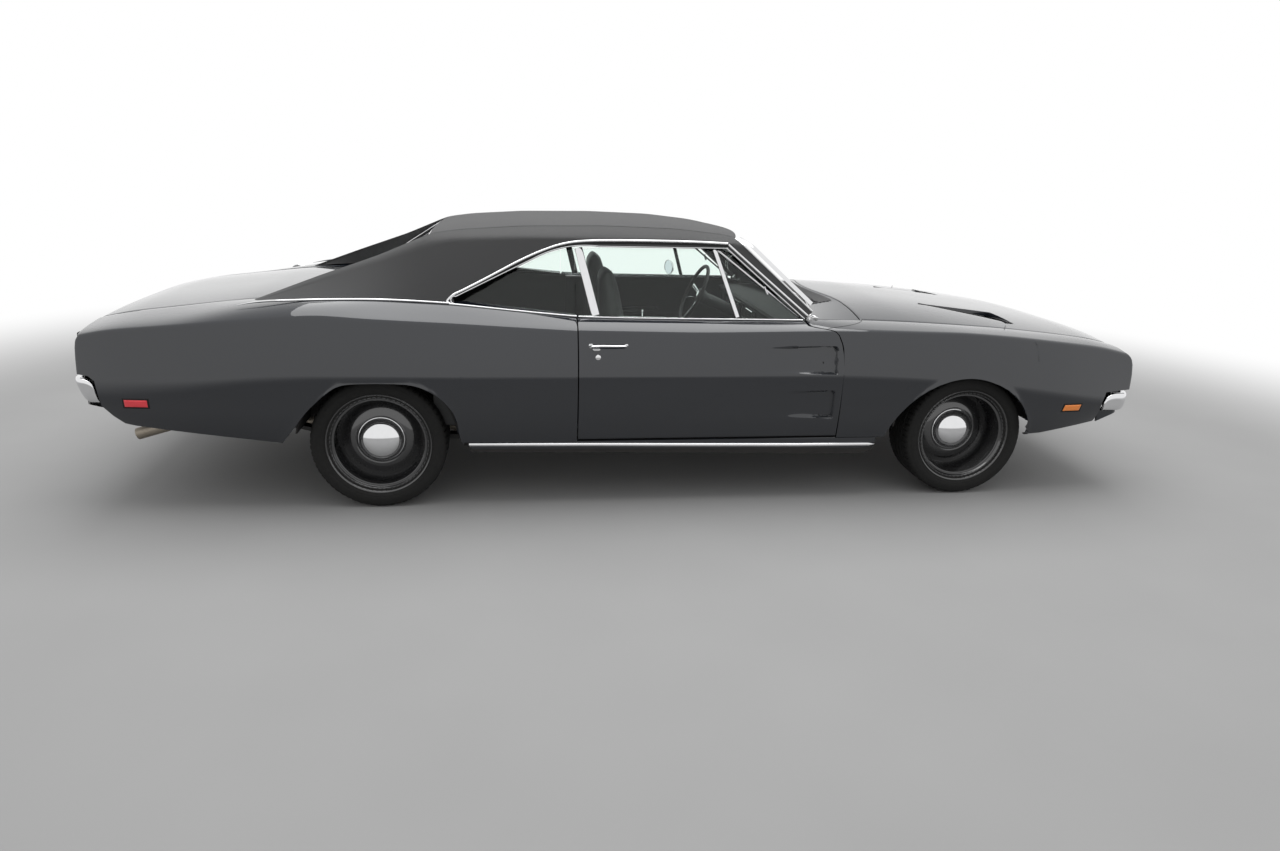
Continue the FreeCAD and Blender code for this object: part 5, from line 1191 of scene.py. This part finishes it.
def bolster(spine, across, wide, deep, ends, power=4.0, count=56, step=12):
    """A closed pad: rounded-rectangle sections along a spine, from their half width and half depth there.
    Both ends are rounded off, each over its own radius."""
    way = np.concatenate([[0], np.cumsum(np.linalg.norm(np.diff(spine, axis=0), axis=1))])
    near = ends[0] * (1 - np.cos(np.linspace(0, np.pi / 2, 7)))
    far = way[-1] - ends[1] * (1 - np.cos(np.linspace(np.pi / 2, 0, 7)))
    spots = np.unique(np.concatenate([near, np.arange(near[-1], far[0], step), far]))
    fall = (ends[0] * (1 - np.sqrt(1 - np.clip(1 - spots / ends[0], 0, 1) ** 2))
            + ends[1] * (1 - np.sqrt(1 - np.clip(1 - (way[-1] - spots) / ends[1], 0, 1) ** 2)))
    at = np.stack([np.interp(spots, way, np.asarray(spine, float)[:, k]) for k in range(3)], -1)
    wide, deep = (np.interp(spots, way, np.broadcast_to(v, len(way))) - fall for v in (wide, deep))
    ahead = np.gradient(at, axis=0)
    ahead /= np.linalg.norm(ahead, axis=1, keepdims=True)
    across = np.asarray(across, float)
    across = across - ahead * (ahead * across).sum(-1, keepdims=True)
    across /= np.linalg.norm(across, axis=1, keepdims=True)
    up = np.cross(ahead, across)
    turn = np.linspace(0, 2 * np.pi, count + 1)
    a, b = (np.sign(f) * np.abs(f) ** (2 / power) for f in (np.cos(turn), np.sin(turn)))
    ring = (at[:, None] + (np.maximum(wide, 1)[:, None] * a)[..., None] * across[:, None]
            + (np.maximum(deep, 1)[:, None] * b)[..., None] * up[:, None])
    return np.concatenate([ring[:1].mean(1, keepdims=True) + 0 * ring[:1], ring,
                           ring[-1:].mean(1, keepdims=True) + 0 * ring[-1:]])


def pad(name, form, sewn, cap=14, voxel=0.010, copies=((0, 1),), replaced=(), slot="seat_vinyl"):
    """A padded piece. Its form is remeshed evenly and blown up as cloth, each point moving at most cap;
    then sewn gives how deep each point is drawn in along its normal. copies place it again: (shift across,
    hand)."""
    made = piece(name, "body", slot, [(form, leather, None)])
    remesh = made.modifiers.new("even", "REMESH")
    remesh.mode, remesh.voxel_size = "VOXEL", voxel
    mesh = bpy.data.meshes.new_from_object(made.evaluated_get(bpy.context.evaluated_depsgraph_get()))
    made.modifiers.clear()
    made.data = mesh
    before = np.empty(len(mesh.vertices) * 3)
    mesh.vertices.foreach_get("co", before)
    after = before.copy()
    cloth = made.modifiers.new("swell", "CLOTH")
    cloth.settings.use_pressure = True
    cloth.settings.uniform_pressure_force = 4.0
    cloth.settings.effector_weights.gravity = 0.0
    cloth.settings.quality = 4
    cloth.point_cache.frame_start, cloth.point_cache.frame_end = 1, 20
    for frame_number in range(1, 21):
        bpy.context.scene.frame_set(frame_number)
    blown = made.evaluated_get(bpy.context.evaluated_depsgraph_get()).to_mesh()
    blown.vertices.foreach_get("co", after)
    made.evaluated_get(bpy.context.evaluated_depsgraph_get()).to_mesh_clear()
    made.modifiers.clear()
    bpy.context.scene.frame_set(1)
    before, after = before.reshape(-1, 3), after.reshape(-1, 3)
    move = after - before
    length = np.linalg.norm(move, axis=1, keepdims=True)
    after = before + move * np.minimum(1, cap / 1000 / np.maximum(length, 1e-9))
    mesh.vertices.foreach_set("co", after.ravel())
    mesh.update()
    normal = np.empty(len(mesh.vertices) * 3)
    mesh.vertices.foreach_get("normal", normal)
    after = after - normal.reshape(-1, 3) * (sewn(after * 1000, normal.reshape(-1, 3)) / 1000)[:, None]
    corners = np.empty(len(mesh.loops), np.int32)
    mesh.loops.foreach_get("vertex_index", corners)
    sizes = np.empty(len(mesh.polygons), np.int32)
    mesh.polygons.foreach_get("loop_total", sizes)
    rows, loops, counts, start = [], [], [], 0
    for shift, hand in copies:
        rows.append(after * (1, hand, 1) + (0, shift / 1000, 0))
        ends = np.cumsum(sizes)
        loops += [list(range(s, e)) if hand > 0 else list(range(e - 1, s - 1, -1))
                  for s, e in zip(ends - sizes, ends)]
        counts.append(start)
        start += len(after)
    half = len(loops) // len(copies)
    faces = [[int(corners[i]) + counts[k // half] for i in face] for k, face in enumerate(loops)]
    whole = bpy.data.meshes.new(name)
    whole.from_pydata(np.concatenate(rows).tolist(), [], faces)
    whole.materials.append(leather)
    whole.shade_smooth()
    made.data = whole
    smooth_over = made.modifiers.new("smooth", "SUBSURF")
    smooth_over.levels = smooth_over.render_levels = 1
    if replaced:
        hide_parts(*replaced)
    return made


def groove(distance, width=5, depth=4):
    """How deep a sewn seam pulls at a distance from it: a bell."""
    return depth * np.exp(-(distance / width) ** 2)


seat_spine = np.linspace((-70, -375, 462), (412, -375, 472), 30)
seat = bolster(seat_spine, (0, 1, 0), 214, 58 + 10 * np.sin(np.linspace(0, np.pi, 30)) ** 2, (30, 44))
back_spine = curve([(-132, -375, 530), (-140, -375, 700), (-148, -375, 849), (-164, -375, 1000),
                    (-184, -375, 1120)])
way = np.linspace(0, 1, len(back_spine))
back_wide = np.interp(way, (0, 0.42, 0.60, 0.74, 0.9, 1), (212, 210, 184, 138, 116, 106))
back = bolster(back_spine, (0, 1, 0), back_wide,
               np.interp(way, (0, 0.3, 0.5, 0.75, 1), (58, 62, 56, 40, 24)), (24, 22), power=3.2)


def seat_sewing(p, n):
    """Channels across the middle panel, and a seam along each bolster, on the upper face."""
    side = np.abs(p[:, 1] + 375)
    rows = np.abs((p[:, 0] + 70 + 35) % 70 - 35)
    channels = groove(side - 132) + groove(rows) * (side < 132)
    return (n[:, 2] > 0.5) * channels + groove(p[:, 2] - 440, 5, 3) * (side > 150)


def back_sewing(p, n):
    """Channels across the front panel up to the head, a seam round it, and a welt down each side."""
    side = np.abs(p[:, 1] + 375)
    rows = np.abs((p[:, 2] - 560 + 35) % 70 - 35)
    below_head = p[:, 2] < 905
    lean = (p[:, 2] > 900) * (p[:, 2] - 900) * 0.1
    channels = groove(side - 118) * below_head + groove(rows) * (side < 118) * below_head
    channels += groove(p[:, 2] - 908)
    return (n[:, 0] > 0.5) * channels + groove(p[:, 0] + 140 + lean, 4, 3) * (np.abs(n[:, 0]) < 0.5)


pad("seat_cushions", seat, seat_sewing, copies=((0, 1), (0, -1)), replaced=("front_seats",))
pad("seat_backs", back, back_sewing, copies=((0, 1), (0, -1)), replaced=("front_seats",))
outs = []
for y in (-375, 375):
    outs += [(box(-45, 345, y - 185, y + 185, 330, 405, 14), hard_black, None)]
    outs += [(box(-50, 350, y + s - 14, y + s + 14, 300.5, 332, 3), steel, None) for s in (-165, 165)]
    outs += [(prism(np.array([(-190, 470), (-120, 400), (30, 400), (40, 440), (-60, 470), (-120, 560),
                              (-185, 620)]), 1, y + s - 9, y + s + 9, 4), hard_black, None)
             for s in (-222, 222)]
    outs += [(turned([(0, 20), (10, 20), (14, 14), (14, 0)], (-120, y + s, 480), (0, np.sign(s), 0), 24),
              chrome, (0, np.sign(s), 0)) for s in (-231, 231)]
piece("seat_frames", "body", "interior_plastic", outs)
bench_spine = np.linspace((-835, -556, 462), (-835, 556, 462), 60)
bench = bolster(bench_spine, (1, 0, -0.08), 178, 64, (40, 40))
bench_back_spine = np.linspace((-1080, -556, 700), (-1080, 556, 700), 60)
bench_back = bolster(bench_back_spine, (-0.28, 0, 1), 210, 56, (40, 40))


def bench_sewing(p, n):
    """Channels along each place's panel, with seams round the two panels, on the upper face."""
    rows = np.abs((p[:, 1] + 35) % 70 - 35)
    panel = (np.abs(p[:, 1]) > 70) & (np.abs(p[:, 1]) < 490)
    along = np.abs(p[:, 0] + 850)
    panel_seams = groove(np.abs(np.abs(p[:, 1]) - 70)), groove(np.abs(np.abs(p[:, 1]) - 490))
    channels = groove(rows) * panel * (along < 125) + groove(along - 125) * panel
    return (n[:, 2] > 0.5) * (channels + panel_seams[0] + panel_seams[1])


def bench_back_sewing(p, n):
    """The bench cushion's pattern stood upright on the front face."""
    rows = np.abs((p[:, 1] + 35) % 70 - 35)
    panel = (np.abs(p[:, 1]) > 70) & (np.abs(p[:, 1]) < 490)
    up = np.abs(p[:, 2] - 700)
    panel_seams = groove(np.abs(np.abs(p[:, 1]) - 70)), groove(np.abs(np.abs(p[:, 1]) - 490))
    channels = groove(rows) * panel * (up < 140) + groove(up - 140) * panel
    return (n[:, 0] > 0.4) * (channels + panel_seams[0] + panel_seams[1])


pad("bench_cushion", bench, bench_sewing, voxel=0.011, replaced=("rear_seat",))
pad("bench_back", bench_back, bench_back_sewing, voxel=0.011, replaced=("rear_seat",))
piece("bench_base", "body", "interior_plastic",
      [(box(-1000, -690, -540, 540, 301, 400, 10), hard_black, None),
       (box(-1210, -1120, -556, 556, 880, 926, 12), hard_black, None)])


# Dashboard: a padded black top over a face with four round gauges in bright rings before the driver, a
# radio slot, knobs, vents and a glovebox lid.
white_paint, wire = finish("dial_white")
wire.close(Base_Color=wire.between(wire.noise(90.0), (0.72, 0.72, 0.70, 1), (0.80, 0.80, 0.78, 1)),
           Roughness=0.5 + 0.1 * wire.noise(50.0))
dash = np.array([(938, 702), (762, 702), (742, 716), (728, 764), (722, 836), (706, 846), (702, 860),
                 (712, 873), (740, 878), (938, 876)], float)
REARWARD = (-1, 0, 0)
outs = [(prism(dash, 1, -752, 752, 5), hard_black, None),
        (box(712, 760, 196, 604, 744, 842, 10), hard_black, None),
        (box(718, 760, -120, 150, 742, 838, 6), hard_black, None),
        (box(716, 752, -690, -230, 726, 824, 8), hard_black, None)]
for z in (748, 838):
    cluster_line = curve([(711, 200, z), (710, 400, z), (711, 600, z)], 30)
    outs.append((strip(cluster_line, REARWARD, 5, 2.5), chrome, None))
for z in (730, 820):
    glovebox_line = [(715, -686, z), (715, -460, z), (715, -234, z)]
    outs.append((strip(glovebox_line, REARWARD, 5, 2.5), chrome, None))
glovebox_lock = turned([(0, 9), (5, 9), (7, 7), (7, 0)], (716, -460, 812), REARWARD, 20)
radio_frame, radio_slot = box(714, 724, -60, 90, 790, 826, 3), box(712, 722, -52, 82, 795, 821, 3)
outs += [(glovebox_lock, chrome, REARWARD), (radio_frame, chrome, None), (radio_slot, hard_black, None)]
for y in (-88, -45, 15, 60, 105):
    outs.append((turned([(0, 10), (14, 9), (16, 7), (16, 0)], (716, y, 764), REARWARD, 20), chrome,
                 REARWARD))
NEEDLE = 2.4
for y, z, r, tick in ((256, 795, 34, 26), (350, 797, 42, 13), (450, 797, 42, 13), (544, 795, 34, 26)):
    bezel = turned([(0, r + 3), (6, r + 2.5), (7, r), (5, r - 2), (2, r - 3)], (712, y, z), REARWARD, 48)
    dial = turned([(2.2, r - 2), (2.4, 0)], (712, y, z), REARWARD, 40)
    outs += [(bezel, chrome, REARWARD), (dial, vent_black, REARWARD)]
    for a in np.radians(np.arange(-40, 221, tick)):
        outward, across = np.array([0, math.cos(a), math.sin(a)]), np.array([0, -math.sin(a), math.cos(a)])
        middle = np.array([709, y, z]) + outward * (r - 8)
        mark = np.array([[middle - outward * 3 - across * 0.6, middle - outward * 3 + across * 0.6],
                         [middle + outward * 3 - across * 0.6, middle + outward * 3 + across * 0.6]])
        outs.append((mark, white_paint, REARWARD))
    outward = np.array([0, math.cos(NEEDLE), math.sin(NEEDLE)])
    across = np.array([0, -math.sin(NEEDLE), math.cos(NEEDLE)])
    middle, tip = np.array([708.2, y, z]), r - 12
    needle = np.array([[middle - outward * 5 - across, middle - outward * 5 + across],
                       [middle + outward * tip - across * 0.4, middle + outward * tip + across * 0.4]])
    outs.append((needle, ruby, REARWARD))
piece("dashboard_trim", "body", "interior_plastic", outs, ("dashboard",))

# Steering wheel: a thin rim of moulded black plastic on three bright steel spokes, bolted to a black column
# that carries the stalks.
aim = np.array([0.912, 0, -0.41]) / np.linalg.norm((0.912, 0.41))
centre, down = np.array([450.0, 350, 872]), np.cross(aim, (0, 1, 0))
turn = np.linspace(0, 2 * np.pi, 19)
ring = turned(np.stack([11 * np.sin(turn), 177 + 11 * np.cos(turn)], -1), centre, aim, 96)
hub = centre + aim * 40
boss = turned([(-20, 0), (-20, 30), (-14, 44), (4, 48), (30, 40), (30, 0)], hub, aim, 48)
outs = [(ring, hard_black, None), (boss, hard_black, None),
        (turned([(-23, 0), (-23, 20), (-20, 27)], hub, aim, 32), chrome, -aim)]
for a in (np.pi / 2 - 0.05, -0.22, np.pi + 0.22):
    reach = math.cos(a) * np.array([0, 1, 0]) + math.sin(a) * down * (-1 if down[2] > 0 else 1)
    spoke = curve([centre + aim * 34 + reach * 30, centre + aim * 24 + reach * 90,
                   centre + aim * 4 + reach * 174], 10)
    outs.append((strip(spoke, aim, 26, 4), chrome, None))
    for r in (70, 98, 126):
        slot = [centre + aim * (34 - r * 0.15) + reach * (r + part) - aim * 4.5 for part in (0, 9, 18)]
        outs.append((strip(slot, -aim, 10, 1.2), vent_black, None))
outs += [(turned([(70, 0), (70, 34), (120, 38), (250, 36), (285, 30), (290, 0)], centre, aim, 40),
          hard_black, None)]
for hand in (-1, 1):
    stalk = curve([centre + aim * 95 + (0, hand * 30, 0), centre + aim * 90 + (0, hand * 90, 12),
                   centre + aim * 80 + (0, hand * 150, 24)], 10)
    outs.append((strip(stalk, aim, 9, 5), chrome, None))
piece("steering_wheel_rim", "body", "interior_plastic", outs, ("steering_wheel",))

# Door cards: panels of board covered in black vinyl, clipped to the doors, with a padded armrest, a pull, a
# lever and a window winder.
for hand, body in ((1, "door_right"), (-1, "door_left")):
    x, z = np.meshgrid(lines(-318, 820, 24, -318, 820), lines(400, 900, 16, 400, 655, 740, 900),
                       indexing="ij")
    inner_y = -np.interp(z, (346, 655, 870, 926), (826, 842, 792, 752))
    card = np.stack([x, inner_y + 6 + 4 * np.exp(-((z - 655) / 12) ** 2), z], -1)
    card = hemmed(card, (0, 1, 0), depth=7)
    arm = bolster(np.linspace((-180, -806, 668), (300, -806, 690), 30), (0, 1, 0), 34, 20, (18, 24),
                  power=3.2, count=32, step=16)
    outs = [(card, leather, (0, 1, 0)), (arm, leather, None)]
    pivot = np.array([470, -831, 600])
    winder = curve([pivot + (0, 16, 0), pivot + (-35, 26, -30), pivot + (-80, 28, -62)], 8)
    lever = curve([(560, -822, 775), (530, -806, 772), (470, -802, 770)], 8)
    outs += [(turned([(0, 20), (10, 18), (18, 10), (20, 0)], pivot, (0, 1, 0), 24), chrome, (0, 1, 0)),
             (strip(winder, (0, 1, 0), 14, 4), chrome, None),
             (turned([(0, 6), (14, 13), (24, 13), (28, 8), (28, 0)], pivot + (-80, 28, -62), (0, 1, 0), 20),
              chrome, None),
             (strip(lever, (0, 1, 0), 16, 4), chrome, None)]
    for z in (560, 880):
        along, height = np.linspace(-312, 814, 30), np.full(30, float(z))
        on_card = np.interp(height, (346, 655, 870), (-826, -842, -792)) + 7
        outs.append((strip(np.stack([along, on_card, height], -1), (0, 1, 0), 7, 3), chrome, None))
    piece(body + "_card", body, "interior_plastic",
          [(s * np.array([1, hand, 1]), m, f if np.ndim(f) == 0 else np.asarray(f) * (1, hand, 1))
           for s, m, f in outs])

# Cabin trims: black vinyl panels beside the bench and before the doors, closing the door gaps from within;
# carpet over the floor and its tunnel; the inner mirror and two visors.
sides = []
for x0, x1, z0, z1, inset in ((-1040, -323, 395, 922, 9), (800, 1016, 395, 868, 69),
                              (-323, 736, 336, 395, 9)):
    x, z = np.meshgrid(lines(x0, x1, 24, x0, x1), lines(z0, z1, 16, z0, z1), indexing="ij")
    inner_y = -np.interp(z, (346, 655, 870, 926), (826, 842, 792, 752)) + inset
    sides.append((hemmed(np.stack([x, inner_y, z], -1), (0, 1, 0), depth=6), leather, (0, 1, 0)))
piece("side_trim_panels", "body", "interior_plastic", sides, mirror=True)
x, y = np.meshgrid(lines(-640, 830, 40, -640, 830), lines(-740, 740, 30, -740, -130, 130, 740),
                   indexing="ij")
hump = np.clip((150 - np.abs(y)) / 60, 0, 1)
cover = np.stack([x, y, 302.5 + (3 * hump ** 2 - 2 * hump ** 3) * 128], -1)
piece("cabin_carpet", "body", "underbody", [(cover, carpet, (0, 0, 1))])
mirror_arm = strip(curve([(470, 0, 1272), (455, 0, 1240), (430, 0, 1215)], 6), (1, 0, 0), 12, 6)
mirror_head = bolster(np.linspace((420, -105, 1208), (420, 105, 1208), 20), (0, 0, 1), 28, 9, (10, 10),
                      power=3, count=32)
visors = [bolster(np.linspace((395, y - 190, 1262), (395, y + 190, 1262), 20), (1, 0, 0.15), 62, 8, (8, 8),
                  power=4, count=32) for y in (-300, 300)]
piece("inner_mirror", "body", "bright_chrome",
      [(mirror_arm, chrome, None), (mirror_head, hard_black, None)] + [(v, lining, None) for v in visors])


# Engine bay: cast covers, a round air cleaner, hoses, battery and radiator about the block, bolted in place.
# Black sheet liners close the bay below and the trunk at its sides.
iron, wire = finish("engine_enamel")
wire.close(Base_Color=wire.between(wire.noise(20.0, 3.0), (0.16, 0.022, 0.010, 1), (0.24, 0.035, 0.015, 1)),
           Roughness=0.38 + 0.2 * wire.noise(60.0, 3.0), Normal=wire.bump(wire.noise(160.0, 3.0), 0.0006))
bare, wire = finish("bare_steel")
wire.close(Base_Color=wire.between(wire.noise(12.0, 4.0), (0.30, 0.28, 0.25, 1), (0.46, 0.44, 0.41, 1)),
           Metallic=0.9, Roughness=0.34 + 0.25 * wire.noise(30.0, 3.0))
outs = []
for hand in (-1, 1):
    cover = bolster(np.linspace((1130, hand * 190, 772), (1610, hand * 190, 772), 20), (0, 1, hand * 0.5),
                    62, 34, (18, 18), power=5, count=40)
    outs.append((cover, hard_black, None))
    for x in (1160, 1370, 1580):
        bolt = turned([(0, 8), (7, 8), (9, 6), (9, 0)], (x, hand * 190 + hand * 6, 800),
                      (0, hand * -0.4, 1), 6)
        outs.append((bolt, bare, None))
cleaner = [(0, 0), (0, 165), (6, 172), (44, 172), (50, 168), (52, 172), (58, 172), (62, 160), (64, 20),
           (70, 16), (82, 12), (82, 0)]
outs.append((turned(cleaner, (1360, 0, 786), (0, 0, 1), 64), chrome, None))
outs.append((turned([(8, 174), (42, 174)], (1360, 0, 786), (0, 0, 1), 64), hard_black, None))
radiator = bolster(np.linspace((1800, -360, 650), (1800, 360, 650), 20), (0, 0, 1), 148, 20, (8, 8),
                   power=8, count=40)
outs.append((radiator, steel, None))
for y in np.arange(-340, 341, 17):
    fin = [(1779, y, 520), (1779, y, 650), (1779, y, 780)]
    outs.append((strip(fin, (-1, 0, 0), 2.5, 1.5), bare, None))
for x0, x1, wide in ((1826, 2030, 470), (2030, 2480, 760)):
    splash_pan = np.array([[(x0, -wide, 470), (x0, wide, 470)], [(x1, -wide, 470), (x1, wide, 470)]], float)
    outs.append((splash_pan, hard_black, (0, 0, 1)))
top_hose = curve([(1690, 60, 760), (1740, 90, 775), (1790, 120, 745)], 8)
outs.append((strip(top_hose, (0, 0, 1), 44, 22), rubber, None))
fan_hub = [(0, 0), (0, 110), (10, 110), (20, 60), (60, 56), (60, 0)]
outs.append((turned(fan_hub, (1715, 0, 640), (1, 0, 0), 32), steel, None))
battery = box(1800, 1965, 385, 530, 560, 745, 8)
outs.append((battery, hard_black, None))
for x in (1835, 1925):
    outs.append((turned([(0, 9), (14, 8), (14, 0)], (x, 455, 745), (0, 0, 1), 16), bare, None))
brake_booster = [(0, 0), (0, 100), (14, 108), (60, 108), (74, 90), (80, 40), (110, 36), (110, 0)]
outs.append((turned(brake_booster, (1030, 420, 690), (1, 0, 0), 40), steel, None))
for k in range(4):
    for hand in (-1, 1):
        lead = curve([(1190 + 120 * k, hand * 250, 700), (1180 + 118 * k, hand * 262, 760),
                      (1150 + 100 * k, hand * 120, 830), (1130, hand * 40, 800)], 14)
        outs.append((strip(lead, (0, 0, 1), 9, 4.5), rubber, None))
liner_x = lines(-2530, -921, 34)
arch = AXLE_Z + np.sqrt(np.clip(372 ** 2 - (liner_x - REAR_X) ** 2, 0, None))
liner_foot = np.maximum(np.interp(liner_x, (-2530, -2400, -2280), (640, 500, 424)), arch)
liner_z = liner_foot[:, None] + np.array([0, 0.5, 1.0]) * (836 - liner_foot)[:, None]
ledge_x, ledge = np.meshgrid(liner_x[liner_x < -1672], np.linspace(0, 1, 4), indexing="ij")
ledge_z = 506 + ledge * (liner_foot[liner_x < -1672, None] - 506)
for hand in (-1, 1):
    outs += [(np.stack([liner_x[:, None] + 0 * liner_z, hand * 842 + 0 * liner_z, liner_z], -1), hard_black,
              (0, -hand, 0)),
             (np.stack([ledge_x, hand * (590 + 252 * ledge), ledge_z], -1), hard_black, (0, 0, 1))]
piece("engine_bay_fittings", "body", "engine_iron", outs)

# Wipers: two black steel arms that lie along the screen's foot on spindles in the cowl. With them comes the
# fuel cap, a chromed disc screwed into its filler on the left quarter.
def on_screen(y, up):
    """A point on the windscreen: a bow across it, at a share of the way up."""
    y = np.asarray(y, float)
    foot = np.stack([822 + 146 * (1 - (y / 742) ** 2), y, 892 + 32 * (1 - (y / 742) ** 2)], -1)
    head = np.stack([446 + 94 * (1 - (y / 742) ** 2), y * 600 / 742, 1272 + 4 * (1 - (y / 742) ** 2)], -1)
    return foot + np.asarray(up)[..., None] * (head - foot)


outs = []
for y0, y1, x0 in ((-420, 40, 986), (160, 600, 978)):
    y = np.linspace(y0, y1, 24)
    lie = on_screen(y, 0.045 + 0.012 * np.linspace(0, 1, 24)) + (6, 0, 7)
    outs.append((strip(lie, (0.6, 0, 0.8), 7, 5), rubber, None))
    reach = curve([(x0, y0 + 60, 934), (x0 - 6, y0 + 120, 946), lie[12] + (3, 0, 6)], 10)
    outs.append((strip(reach, (0.5, 0, 0.8), 12, 4), hard_black, None))
    outs.append((turned([(-14, 13), (6, 13), (10, 9), (10, 0)], (x0, y0 + 60, 934), (0.2, 0, 1), 20),
                 hard_black, None))
piece("wiper_arms", "body", "chassis_black", outs)
cap_z = 905
cap_y = -skin_y(QUARTER, -2010, cap_z)
CAP_OUT = (0, 0.78, 0.62)
cap = [(-3, 52), (3, 52), (7, 48), (6, 42), (10, 40), (13, 30), (14, 0)]
cap_bar = [(-2032, cap_y + 9.8, cap_z + 8.6), (-2010, cap_y + 11, cap_z + 9.2),
           (-1988, cap_y + 9.8, cap_z + 8.6)]
outs = [(turned(cap, (-2010, cap_y, cap_z), CAP_OUT, 64), chrome, None),
        (strip(cap_bar, CAP_OUT, 14, 7), chrome, None)]
for a in np.arange(8) * np.pi / 4:
    screw_at = (-2010 + 45 * math.cos(a), cap_y + (45 * math.sin(a)) * -0.62 + 4,
                cap_z + 45 * math.sin(a) * 0.78 + 3.2)
    outs.append((turned([(0, 3.4), (3, 3.4), (4, 2), (4, 0)], screw_at, CAP_OUT, 12), chrome, None))
piece("fuel_cap", "body", "bright_chrome", outs)

# Underside: the pressed floor in dull black underseal, the running gear in satin black and the exhaust in
# bare steel. These are the solids themselves, given their finishes.
under, wire = finish("black_underseal")
tar = wire.between(wire.noise(9.0, 4.0), (0.011, 0.011, 0.011, 1), (0.028, 0.026, 0.024, 1))
wire.close(Base_Color=tar, Roughness=0.78 + 0.15 * wire.noise(40.0, 3.0),
           Normal=wire.bump(wire.noise(120.0, 3.0), 0.0012))
rust, wire = finish("pipe_steel")
wire.close(Base_Color=wire.between(wire.noise(7.0, 4.0), (0.26, 0.22, 0.17, 1), (0.44, 0.40, 0.34, 1)),
           Metallic=0.75, Roughness=0.36 + 0.22 * wire.noise(24.0, 3.0))
for nodes, made in ((("floor_pan", "rear_floor", "firewall", "front_structure", "fuel_tank"), under),
                    (("front_suspension", "knuckle_left", "knuckle_right", "rear_axle", "leaf_springs",
                      "door_hinges", "hood_hinges", "trunk_hinges"), steel),
                    (("exhaust",), rust), (("engine_block",), iron)):
    for name in nodes:
        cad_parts[name].data.materials.clear()
        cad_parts[name].data.materials.append(made)


# Stage: a plain pale floor that fades to white far off, an even white sky and one large soft lamp. None of
# it is part of the car.
ground, wire = finish("pale_floor")
away = wire.node("VectorMath", settings={"operation": "LENGTH"}, out=1, i0=wire.place())
far = wire.node("MapRange", settings={"interpolation_type": "SMOOTHSTEP"},
                Value=away, From_Min=4.0, From_Max=7.0)
seen = wire.node("LightPath", out=0)
for way_out in (3, 6):
    seen = wire.sum("MAXIMUM", seen, wire.node("LightPath", out=way_out))
grey = wire.between(wire.noise(1.5), (0.30, 0.30, 0.30, 1), (0.33, 0.33, 0.33, 1))
pale = wire.node("BsdfPrincipled", Base_Color=grey, Roughness=0.8)
bright_far = wire.node("Emission", Color=(1, 1, 1, 1), Strength=1.0)
wire.node("OutputMaterial", Surface=wire.node("MixShader", i0=far * seen, i1=pale, i2=bright_far))
half = 40000
square = np.array([[(-half, -half, 0), (-half, half, 0)], [(half, -half, 0), (half, half, 0)]], float)
floor = piece("floor", "body", "underbody", [(square, ground, (0, 0, 1))])

world = bpy.data.worlds.new("studio")
bpy.context.scene.world = world
world.use_nodes = True
world.node_tree.nodes.clear()
wire = Wire(world.node_tree)
seen = wire.node("LightPath", out=0)
for way_out in (3, 6):
    seen = wire.sum("MAXIMUM", seen, wire.node("LightPath", out=way_out))
sky = wire.node("Background", Color=(1, 1, 1, 1), Strength=0.75)
backdrop = wire.node("Background", Color=(1, 1, 1, 1), Strength=1.0)
wire.node("OutputWorld", Surface=wire.node("MixShader", i0=seen, i1=sky, i2=backdrop))


def lamp(name, place, aim, size, power):
    """A square soft lamp."""
    light = bpy.data.lights.new(name, "AREA")
    light.size, light.energy = size, power
    made = bpy.data.objects.new(name, light)
    made.location = place
    made.rotation_euler = (Vector(aim) - Vector(place)).to_track_quat("-Z", "Y").to_euler()
    bpy.context.scene.collection.objects.link(made)


lamp("top_lamp", (0, 0.5, 6.5), (0, 0, 0), 7.0, 420)

camera = bpy.data.objects.new("camera", bpy.data.cameras.new("camera"))
bpy.context.scene.collection.objects.link(camera)
bpy.context.scene.camera = camera
yaw, pitch, roll = (math.radians(a) for a in (8.39, 17.34, 1.858))
ahead = np.array([math.sin(yaw) * math.cos(pitch), math.cos(yaw) * math.cos(pitch), -math.sin(pitch)])
side = np.array([math.cos(yaw), -math.sin(yaw), 0])
up = np.cross(side, ahead)
side, up = side * math.cos(roll) + up * math.sin(roll), -side * math.sin(roll) + up * math.cos(roll)
camera.matrix_world = Matrix([[side[k], up[k], -ahead[k], place]
                                 for k, place in enumerate((-0.636, -4.903, 1.670))]
                                + [[0, 0, 0, 1]])
camera.data.lens = 862 / 1280 * 36
camera.data.clip_end = 200
bpy.context.scene.view_settings.view_transform = "Standard"
